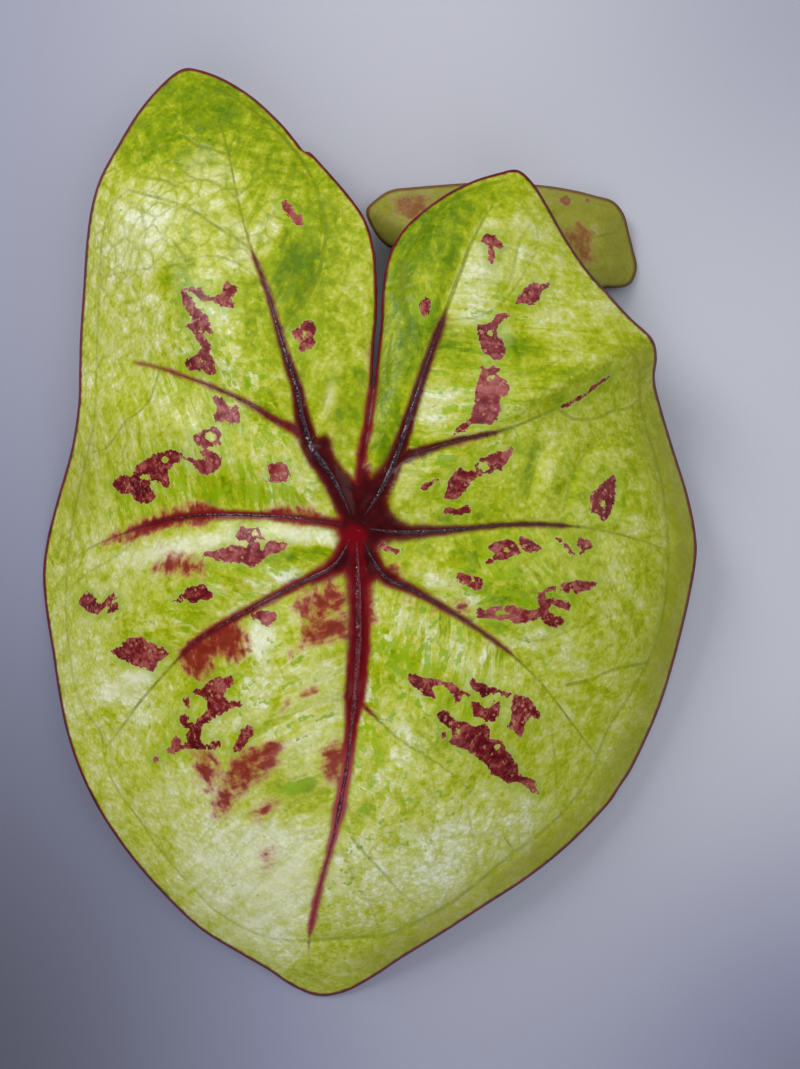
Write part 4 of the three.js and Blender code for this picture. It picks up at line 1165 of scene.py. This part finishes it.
def sweep_ribs(name, tree, lines, material, **sizes):
    """Runs the rib tree on lines of (place, half width, dark, red) and keeps the result as a mesh."""
    rows, edges = [], []
    for line in lines:
        edges += [(i, i + 1) for i in range(len(rows), len(rows) + len(line) - 1)]
        rows += line
    points, *marked = zip(*rows)
    mesh = bpy.data.meshes.new(name + "_wire")
    mesh.from_pydata([tuple(p) for p in points], edges, [])
    for layer, values in zip(("wide", "dark", "red"), marked):
        mark(mesh, layer, values)
    wire = add_object(name + "_wire", mesh)
    modifier = wire.modifiers.new("ribs", "NODES")
    modifier.node_group = tree
    keys = {item.name: item.identifier for item in tree.interface.items_tree
            if item.item_type == "SOCKET" and item.in_out == "INPUT"}
    for label, value in sizes.items():
        modifier[keys[label.replace("_", " ")]] = value
    modifier[keys["Skin"]] = material
    wire.update_tag()
    view = bpy.context.evaluated_depsgraph_get()
    result = bpy.data.meshes.new_from_object(wire.evaluated_get(view), depsgraph=view)
    result.name = name
    wire.modifiers.clear()
    bpy.data.objects.remove(wire)
    bpy.data.meshes.remove(mesh)
    return add_object(name, result)


def rib_lines(leaf, seat, face, laterals):
    """Lines for the ribs of a blade's upper face (1) or underside (-1), a point every 4 chart marks.

    The upper ribs thin out near the junction and at the end of their dark band. The lower ones run to
    the edge of the blade. All are sunk a little into the face.
    """
    spec = leaf.spec
    lines = []
    first, step = (14.0 if face > 0 else 2.0), 4.0
    for rib, line in leaf.banded:
        reach = line.length * (spec["slit_at"] if rib.get("slit") else 0.985)
        if face > 0:
            if rib.get("slit"):
                continue
            reach = min(reach, rib["fade"] + 6)
        row = []
        for along in np.arange(first, reach, step):
            x, y = line.at(along / line.length)[:2]
            spot, normal = seat.at(x, y)
            if face > 0:
                left = min(1, (reach - along) / 30)
                near = min(1, 0.1 + (along - first) / 55)
                taper = min(1, 0.1 + (reach - along) / 150)
                half = (0.13 + 0.34 * width_at(rib["wide"], along) / 2 / MARKS) * MM * taper * near
                row.append((spot - normal * half * 0.25, half, left, rib["red"]))
            else:
                ridge = rib.get("ridge", 0.8)
                half = (0.3 + 0.5 * ridge * (1 - 0.75 * along / line.length)) * MM
                dark = 1 - past_band(rib, along)
                row.append((spot - normal * (0.9 * half - 0.2 * MM), half, dark, rib["red"]))
        lines.append(row)
    for path in laterals:
        row = []
        for i, (x, y, _) in enumerate(path):
            spot, normal = seat.at(x, y)
            half = (0.36 - 0.2 * i / len(path)) * MM
            row.append((spot - normal * half * 0.45, half, 0, 0))
        lines.append(row)
    return lines


# ---------------------------------------------------------------- stalks and neck
def sweep_stalk(spec, tree, material):
    """Round stalk along its line, flared at the junction and wider towards the neck."""
    line = [[x + SHIFT[0], y + SHIFT[1], spec["under"] + z] for x, y, z in spec["line"]]
    path = smooth(line)
    gaps = np.linalg.norm(path[1:] - path[:-1], axis=1)
    run = np.concatenate([[0], np.cumsum(gaps)])
    spacing, cap = 0.8, 0.9
    steps = np.arange(0, run[-1], spacing)
    spots_on = np.stack([np.interp(steps, run, column) for column in path.T], -1)
    share = steps / run[-1]
    flare = 0.9 * bell(share, 0.02)
    half = spec["top"] + (spec["base"] - spec["top"]) * share ** 2 + flare
    row = [(Vector(p) * MM, r * MM, s, 0.5) for p, r, s in zip(spots_on, half, share)]
    # one more ring reaches up into the blade
    first = Vector(spots_on[0]) * MM + Vector((0, 0, cap * MM))
    row.insert(0, (first, (half[0] + 0.2) * MM, 0, 0.5))
    return sweep_ribs(spec["name"] + "_stalk", tree, [row], material, Sides=40, Height_share=1.0,
                      Uneven_share=0.05, Lumps_per_metre=90.0)


def make_neck(spec, skin, cut):
    """Cut piece of the tuber's neck: ringed bark, a rounded rim and flat cut ends."""
    sides = spec["sides"]
    length = spec["front"] - spec["back"]
    ring_at = np.linspace(0, 1, len(spec["rings"]))
    # rows of points: rings on the front cut, along the bark, and on the back cut
    inset = [0.35, 0.8, 0.97]
    rows = [(0, scale, 0.0) for scale in inset]
    rows += [(None, 1, t) for t in np.linspace(0, 1, spec["steps"])]
    rows += [(1, scale, 1.0) for scale in inset[::-1]]
    points = []
    for end, inner, t in rows:
        y = spec["front"] - length * t
        swell = np.interp(t, ring_at, spec["rings"])
        # the bark turns in over half a millimetre at each cut
        edge = min(t, 1 - t) * length
        soft = 1 - 0.07 * math.exp(-(edge / 0.5) ** 2)
        for side in range(sides):
            turn = 2 * math.pi * side / sides
            lobes = 1 + 0.035 * math.sin(3 * turn + 1.7 * t) + 0.02 * math.sin(5 * turn)
            uneven = swell * soft * inner * lobes
            rough = noise.noise(Vector((math.cos(turn) * 3, math.sin(turn) * 3, t * 9))) * 0.022
            scar = 0.02 * math.sin(t * 58 + 0.8 * math.sin(turn * 2))
            reach = uneven + (rough + scar if end is None else 0)
            # the cuts are hollowed by up to a quarter of a millimetre
            dip = 0.0 if end is None else 0.25 * (1 - inner ** 2) * (1 if end == 0 else -1)
            x = spec["x"] + math.cos(turn) * spec["wide"] * reach + SHIFT[0]
            z = spec["centre"] + math.sin(turn) * spec["tall"] * reach
            points.append((x * MM, (y + SHIFT[1] - dip) * MM, max(0.0, z) * MM))
    faces, kinds = [], []
    count = len(rows)
    for i in range(count - 1):
        for side in range(sides):
            a, b = i * sides + side, i * sides + (side + 1) % sides
            faces.append((a, b, b + sides, a + sides))
            kinds.append(0 if len(inset) <= i < count - len(inset) - 1 else 1)
    for first, flip in ((0, True), ((count - 1) * sides, False)):
        centre = len(points)
        ring = np.array(points[first:first + sides])
        points.append(tuple(ring.mean(0)))
        for side in range(sides):
            a, b = first + side, first + (side + 1) % sides
            faces.append((centre, b, a) if flip else (centre, a, b))
            kinds.append(1)
    return plain_mesh(spec["name"] + "_neck", points, faces, [skin, cut], kinds)


# ---------------------------------------------------------------- materials
def upper_skin(name, dull=False):
    """Upper face of a blade: lime ground with cream and green mottling, maroon blotches, dark bands,
    painted sheen and some painted shade along folds.
    """
    m = Finish(name)
    band, red, glow, blotch, flush = m.attributes("band", "red", "glow", "blotch", "flush")
    vein, vein_dark, edge, netted = m.attributes("vein", "vein_dark", "edge", "netted")
    # pale: the whitish stretches, cream in part and painted sheen in part
    tone, olive, flecks, pale = m.attributes("tone", "olive", "fleck", "pale_and_painted_sheen")
    weave = m.add("ShaderNodeUVMap", {}, "UV", uv_map="weave")
    bent, push = m.swirl(0.0022)
    weft = m.pushed(push, 0.0018, weave)

    # noise and squarish patches in several sizes, which the colours below share
    drift = m.grain(0.016, 2)
    mottle = m.grain(0.0042, 3)
    rag = m.grain(0.0022, 3)
    grit = m.grain(0.0008, 2)
    streak = m.grain(1.0, 2, m.stretch(weave, 0.0017, 0.0038), 0.6)
    patch = m.patches(0.0046, weft)
    bit = m.patches(0.0019, weft)
    block = m.patches(0.001, m.object)

    # ground: from deep green over lime to cream
    lively = m.step(flecks, 0.0, 0.6, 0.3, 0.8)
    value = m.shift(m.grain(0.009, 3), 0.7, m.shift(drift, 0.7, tone))
    calm = m.step(pale, 0.0, 0.6, 1.0, 0.5)
    value = m.shift(mottle, m.times(calm, 1.2), value)
    value = m.shift(rag, m.times(calm, 0.9), m.shift(streak, 0.3, value))
    value = m.shift(patch["Red"], lively, value)
    value = m.shift(bit["Red"], m.times(lively, 0.8), value)
    value = m.shift(block["Red"], 0.25, value)
    value = m.shift(grit, 0.5, value)
    net = m.cells(0.0052, "DISTANCE_TO_EDGE", bent)
    small_net = m.cells(0.0019, "DISTANCE_TO_EDGE", bent)
    swell = m.times(m.calc("SUBTRACT", m.step(net, 0.0, 0.45), 0.5), netted)
    value = m.calc("MULTIPLY_ADD", swell, 0.35, value)
    value = m.shift(m.step(small_net, 0.0, 0.5), 0.15, value)
    ground = m.ramp(m.span(value, -1.25, 1.15), (0.0, "527000"), (0.20, "748A00"), (0.38, "96A20E"),
                    (0.52, "ADB340"), (0.68, "BEC27A"), (0.84, "D2D6B2"), (1.0, "E0E2CE"))

    # net of small veins, greener than the ground
    lines = m.calc("MULTIPLY_ADD", m.step(net, 0.0, 0.12, 1.0, 0.0), m.times(netted, 0.7),
                   m.times(m.step(small_net, 0.0, 0.24, 1.0, 0.0), 0.15))
    lines = m.times(lines, m.step(drift, 0.3, 0.65, 0.4, 1.0))
    ground = m.blend(lines, ground, m.ramp(mottle, (0.3, "5E7A02"), (0.7, "828C16")))

    # pale stretches (cream in part, painted sheen in part) and olive stretches, green flecks with square
    # edges, greener ground near blotches
    # the whitish wash is partly pale cream and partly painted sheen
    whiter_and_painted_sheen = m.times(pale, m.shift(mottle, 1.2, m.shift(patch["Blue"], 0.5, 0.8)))
    ground = m.blend(m.step(whiter_and_painted_sheen, 0.05, 0.9, 0.0, 0.9), ground, paint("D2D4B4"))
    spot = m.shift(bit["Green"], 0.5, m.shift(rag, 1.5, m.calc("MULTIPLY_ADD", streak, 0.4, flecks)))
    green = m.times(m.step(spot, 0.60, 0.82), 0.85)
    near_blotch = m.times(m.step(blotch, -2.6, -0.3), m.step(mottle, 0.3, 0.6, 0.1, 0.6))
    green = m.calc("MAXIMUM", green, near_blotch)
    ground = m.blend(green, ground, m.ramp(drift, (0.35, "729400"), (0.65, "8AA60C")))
    olive = m.times(olive, m.step(m.shift(drift, 2.0, edge), 9.0, 4.5, 0.4, 1.0))
    olive = m.times(olive, m.step(mottle, 0.25, 0.7, 0.7, 1.0))
    ground = m.blend(olive, ground, paint("7F8016"))
    fine = m.times(m.step(m.shift(rag, 0.6, vein), -0.3, 0.12), vein_dark)
    fine = m.times(fine, m.step(mottle, 0.3, 0.6, 0.5, 1.2))
    ground = m.blend(fine, ground, m.ramp(drift, (0.3, "567000"), (0.7, "6E7406")))

    # soft red flushes, pink where thin and crimson where strong, and a brown haze round dark bands
    smear = m.grain(1.0, 2, m.stretch(weave, 0.0017, 0.0042), 0.6)
    veil = m.shift(smear, 1.0, m.shift(mottle, 1.3, m.shift(rag, 1.1, flush)))
    veil = m.times(m.step(veil, -0.25, 1.25), m.step(flush, 0.0, 0.5))
    blush = m.ramp(m.shift(rag, 0.6, veil), (0.1, "BA7C76"), (0.35, "A2464A"), (0.68, "861A28"),
                                             (1.0, "70080E"))
    colour = m.blend(m.step(veil, 0.0, 0.85, 0.0, 0.95), ground, blush)
    haze = m.shift(mottle, 1.5, m.shift(streak, 0.8, m.calc("MULTIPLY_ADD", glow, 0.4, band)))
    haze = m.times(m.step(haze, -1.3, 0.5, 0.0, 0.85),
                  m.step(m.calc("MAXIMUM", red, glow), 0.05, 0.6, 0.35, 1.0))
    colour = m.blend(haze, colour, m.blend(m.step(red, 0.1, 0.6), paint("561C08"), paint("6C1212")))

    # blotches with blocky, ragged edges, a thin pale fringe and pale specks, and a pinkish painted sheen
    # where the whitish stretches cross them
    cut = m.shift(block["Green"], 0.5, m.shift(bit["Green"], 0.4, m.shift(rag, 0.9, blotch)))
    fringe = m.times(m.step(cut, -0.5, -0.12), m.step(block["Blue"], 0.2, 0.7, 0.05, 0.3))
    colour = m.blend(fringe, colour, paint("C4A288"))
    wine = m.ramp(m.shift(rag, 0.9, m.shift(block["Red"], 0.2, m.grain(0.012, 2))),
                  (0.23, "4C0910"), (0.5, "6F1C20"), (0.73, "924A44"))
    speck = m.patches(0.00075, m.object)["Red"]
    wine = m.blend(m.step(speck, 0.9, 0.98, 0.0, 0.6), wine, paint("B98A6A"))
    line = m.times(m.step(small_net, 0.0, 0.12, 0.45, 0.0), m.step(rag, 0.45, 0.62))
    wine = m.blend(line, wine, paint("A8705A"))
    # painted sheen on the blotches: pinkish, where the whitish stretches lie
    painted_blotch_sheen = m.times(pale, m.step(m.shift(rag, 1.5, bit["Red"]), 0.1, 1.1, 0.25, 1.1))
    wine = m.blend(painted_blotch_sheen, wine, paint("AE6C72"))
    colour = m.blend(m.step(cut, -0.1, 0.12), colour, wine)

    # dark bands of the ribs, near black in the middle, crimson or brown at their flanks
    deep = m.shift(mottle, 0.6, m.shift(rag, 0.9, band))
    dark = m.step(deep, -0.7, 0.5)
    core = m.step(deep, 0.0, 1.5)
    crimson = m.ramp(mottle, (0.3, "5E080E"), (0.7, "7C141C"))
    far = m.step(glow, 0.0, 0.012, 0.8, 0.0)
    crimson = m.blend(far, crimson, paint("963642"))
    flank = m.blend(m.step(red, 0.1, 0.7), paint("4C160A"), crimson)
    near_black = m.ramp(mottle, (0.3, "2C0608"), (0.7, "42090E"))
    heart = m.blend(m.step(m.shift(rag, 0.6, red), 0.75, 1.25), near_black, paint("68020E"))
    heart = m.blend(m.times(far, m.step(red, 0.3, 0.7)), heart, paint("741E2A"))
    colour = m.blend(dark, colour, m.blend(core, flank, heart))
    rim = m.step(m.shift(rag, 0.4, edge), 1.0, 0.45)
    colour = m.blend(rim, colour, m.ramp(mottle, (0.3, "4A080C"), (0.7, "6C161C")))
    if dull:
        colour = m.blend(0.45, colour, paint("7A6E38"))

    # surface: cushions between the net and fine wrinkles under a thin waxy coat
    height = m.shift(grit, 0.35, m.times(m.step(net, 0.0, 0.5), 0.5))
    height = m.times(height, m.step(band, -0.5, 0.7, 1.0, 0.35))
    normal = m.bump(height, 0.0003, 0.6)
    fold = m.times(streak, m.step(band, -0.5, 0.7, 1.0, 0.3))
    pleats = m.bump(m.shift(rag, 0.5, fold), 0.0005, 1.0)
    gloss = m.shift(mottle, 0.25, m.step(dark, 0, 1, 0.36, 0.32))
    if dull:
        gloss = m.calc("ADD", gloss, 0.2)
    return m.finish(Base_Color=colour, Roughness=gloss, Normal=normal, Specular_IOR_Level=0.06,
                    Coat_Weight=0.0 if dull else 0.13, Coat_Roughness=0.15, Coat_Normal=pleats)


def under_skin(name):
    """Underside: paler, greyer and duller, with the markings showing through."""
    m = Finish(name)
    band, blotch, edge, flush, tone = m.attributes("band", "blotch", "edge", "flush", "tone")
    mottle = m.grain(0.005, 3)
    value = m.shift(mottle, 1.4, m.shift(m.grain(0.0018, 3), 0.8, m.times(tone, 0.9)))
    ground = m.ramp(m.span(value, -1.2, 1.3), (0.0, "76904A"), (0.5, "9CAC72"), (1.0, "C6CCA8"))
    bent, _ = m.swirl(0.0026)
    net = m.cells(0.0058, "DISTANCE_TO_EDGE", bent)
    line = m.step(net, 0.0, 0.08, 0.35, 0.0)
    colour = m.blend(line, ground, paint("B4C290"))
    show = m.times(m.step(m.shift(m.grain(0.002, 2), 0.6, blotch), -0.2, 0.3), 0.6)
    colour = m.blend(m.calc("MAXIMUM", show, m.times(flush, 0.35)), colour, paint("8E5A62"))
    colour = m.blend(m.step(band, -1.4, 0.6, 0.0, 0.75), colour, paint("8A3A4C"))
    colour = m.blend(m.step(edge, 0.9, 0.5), colour, paint("5A1626"))
    height = m.calc("SUBTRACT", m.times(m.grain(0.0012, 2), 0.5), line)
    return m.finish(Base_Color=colour, Roughness=0.62, Normal=m.bump(height, 0.00025, 0.7),
                    Specular_IOR_Level=0.35)


def rib_skin(name, green, pale=False):
    """Ribs: dark and glossy where the band is dark, else like the blade beside them."""
    m = Finish(name)
    dark, red = m.attributes("dark", "red")
    mottle = m.grain(0.004, 3)
    speck = m.grain(0.0011, 2)
    if pale:
        deep = m.ramp(mottle, (0.3, "7A2C40"), (0.7, "A0586A"))
    else:
        near_black = m.ramp(mottle, (0.3, "18040A"), (0.7, "2C0A16"))
        crimson = m.ramp(mottle, (0.3, "3A040A"), (0.7, "620A14"))
        deep = m.blend(m.step(red, 0.3, 0.9), near_black, crimson)
    plain = m.ramp(speck, (0.3, green[0]), (0.7, green[1]))
    share = m.step(m.shift(speck, 0.6, dark), 0.1, 0.5)
    colour = m.blend(share, plain, deep)
    normal = m.bump(m.calc("MULTIPLY_ADD", mottle, 4.0, speck), 0.0004, 0.8)
    return m.finish(Base_Color=colour, Roughness=0.36, Normal=normal, Specular_IOR_Level=0.3,
                    Specular_Tint=(0.8, 0.66, 0.86, 1), Coat_Weight=0.0 if pale else 0.5,
                    Coat_Roughness=0.16, Coat_Normal=normal)


def stalk_skin(name):
    """Stalk: dark maroon over green, with fine lengthwise streaks, paler at the foot."""
    m = Finish(name)
    along, = m.attributes("dark")
    streak = m.grain(0.0009, 3, m.mapped(Scale=(1.0, 0.09, 1.0)))
    patch = m.grain(0.008, 3)
    shade = m.shift(streak, 0.9, patch)
    colour = m.ramp(shade, (0.2, "2A0A12"), (0.45, "4E1422"), (0.6, "6E2A30"), (0.8, "7A6236"))
    foot = m.step(m.shift(streak, 0.25, along), 0.86, 1.0, 0.0, 0.85)
    colour = m.blend(foot, colour, paint("C79A92"))
    height = m.calc("MULTIPLY_ADD", streak, 1.0, m.times(m.grain(0.0006, 2), 0.3))
    return m.finish(Base_Color=colour, Roughness=m.step(patch, 0.3, 0.7, 0.3, 0.42),
                    Normal=m.bump(height, 0.00018, 0.8), Specular_IOR_Level=0.5)


def bark_skin(name):
    """Papery brown bark of the neck, with rings of old leaf scars."""
    m = Finish(name)
    ring = m.grain(0.0022, 3, m.mapped(Scale=(0.35, 1.6, 0.35)))
    patch = m.grain(0.005, 4)
    shade = m.shift(ring, 1.0, patch)
    colour = m.ramp(shade, (0.2, "3A2418"), (0.42, "6B4A32"), (0.6, "96704C"), (0.8, "C0A078"))
    height = m.calc("MULTIPLY_ADD", ring, 1.0, m.grain(0.0012, 3))
    return m.finish(Base_Color=colour, Roughness=0.78, Normal=m.bump(height, 0.0004, 0.9),
                    Specular_IOR_Level=0.3)


def flesh_skin(name):
    """Fresh cut flesh of the neck: cream with a pink tinge and small darker dots."""
    m = Finish(name)
    dots = m.cells(0.0011, "F1")
    patch = m.grain(0.004, 3)
    colour = m.ramp(patch, (0.3, "D9C39A"), (0.55, "E8D8B4"), (0.75, "E2BFA6"))
    colour = m.blend(m.step(dots, 0.0, 0.28, 0.4, 0.0), colour, paint("B58A64"))
    return m.finish(Base_Color=colour, Roughness=0.4, Normal=m.bump(dots, 0.0002, 0.5),
                    Specular_IOR_Level=0.5)


def floor_with_painted_shade(name):
    """Pale floor with painted shade: it grows darker to the left and in soft patches, mostly towards the
    near corners.
    """
    m = Finish(name)
    side = m.add("ShaderNodeSeparateXYZ", {"Vector": m.object}, "X")
    # painted shade: darker towards the left, then in soft dark patches
    shade = m.step(side, -0.16, 0.03, 0.58, 1.0)
    for x, y, reach, depth in (
            (-0.14, -0.17, 0.28, 0.72), (0.15, -0.18, 0.15, 0.62), (0.15, 0.18, 0.12, 0.25),
            (0.03, -0.20, 0.10, 0.12)):
        spot = m.mapped(Location=(-x, -y, 0))
        away = m.add("ShaderNodeVectorMath", {0: spot}, "Value", operation="LENGTH")
        shade = m.times(shade, m.step(away, 0.0, reach, 1 - depth, 1.0))
    colour = m.ramp(shade, (0.0, "000000"), (0.5, "7E8096"), (1.0, "AEAFB9"))
    return m.finish(Base_Color=colour, Roughness=0.9, Specular_IOR_Level=0.2)


def lay_floor():
    half = 1.6
    points = [(-half, -half, 0), (half, -half, 0), (half, half, 0), (-half, half, 0)]
    floor = plain_mesh("floor", points, [(0, 1, 2, 3)], [floor_with_painted_shade("pale floor with painted shade")])


# ---------------------------------------------------------------- assembly
def dress(piece, node):
    """Every piece rides on the one body, and the CAD part of its node is hidden."""
    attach(piece, "root")
    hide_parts(node)


def build_leaf(spec, marks, fine, coarse, gap, dull):
    """Blade and ribs. fine and coarse are mesh spacings in mm outwards and across, gap is between veins."""
    leaf = Leaf(spec)
    name = spec["name"]
    skins = [upper_skin(name + " upper", dull), under_skin(name + " under")]
    blade, faces = make_blade(leaf, skins, marks, fine, coarse)
    dress(blade, name)
    tree = bpy.data.node_groups.get("tapered ribs") or rib_tree()
    upper = rib_lines(leaf, Seat(*faces["upper"]), 1, [])
    top_ribs = sweep_ribs(name + "_ribs", tree, upper, rib_skin(name + " rib", ("5A4A18", "6E5A20")),
                          Sides=12, Height_share=0.6, Uneven_share=0.4, Lumps_per_metre=260.0)
    dress(top_ribs, name)
    lower = rib_lines(leaf, Seat(*faces["lower"]), -1, leaf.laterals(gap))
    under_ribs = sweep_ribs(name + "_under_ribs", tree, lower,
                            rib_skin(name + " under rib", ("A4B27A", "BAC594"), pale=True),
                            Sides=10, Height_share=0.9, Uneven_share=0.12, Lumps_per_metre=200.0)
    dress(under_ribs, name)


set_camera()
set_lights()
lay_floor()
bpy.context.scene.view_settings.view_transform = "Standard"

# ground: tone away from all spots. glow: reach of the brown haze in chart marks.
FRONT_MARKS = dict(blotches=BLOTCHES, islands=ISLANDS, flushes=FLUSHES, heart=HEART, tones=TONES,
                   olives=OLIVES, flecks=FLECKS, pales_and_sheen=PALE_AND_SHEEN_SPOTS, netted=NETTED, ground=-0.02, glow=95)
REAR_MARKS = dict(blotches=REAR_BLOTCHES, islands=[], flushes=REAR_FLUSHES, heart=None,
                  tones=REAR_TONES, olives=REAR_OLIVES, flecks=[], pales_and_sheen=[], netted=[], ground=0.0,
                  glow=30)
build_leaf(FRONT, FRONT_MARKS, fine=(0.69, 0.69), coarse=(2.4, 2.2), gap=8.0, dull=False)
build_leaf(REAR, REAR_MARKS, fine=(0.8, 0.7), coarse=(1.6, 1.5), gap=6.0, dull=True)
stalk_tree = bpy.data.node_groups["tapered ribs"]
for stalk in (FRONT_STALK, REAR_STALK):
    dress(sweep_stalk(stalk, stalk_tree, stalk_skin(stalk["name"] + " skin")), stalk["name"])
dress(make_neck(NECK, bark_skin("neck bark"), flesh_skin("neck flesh")), "crown")
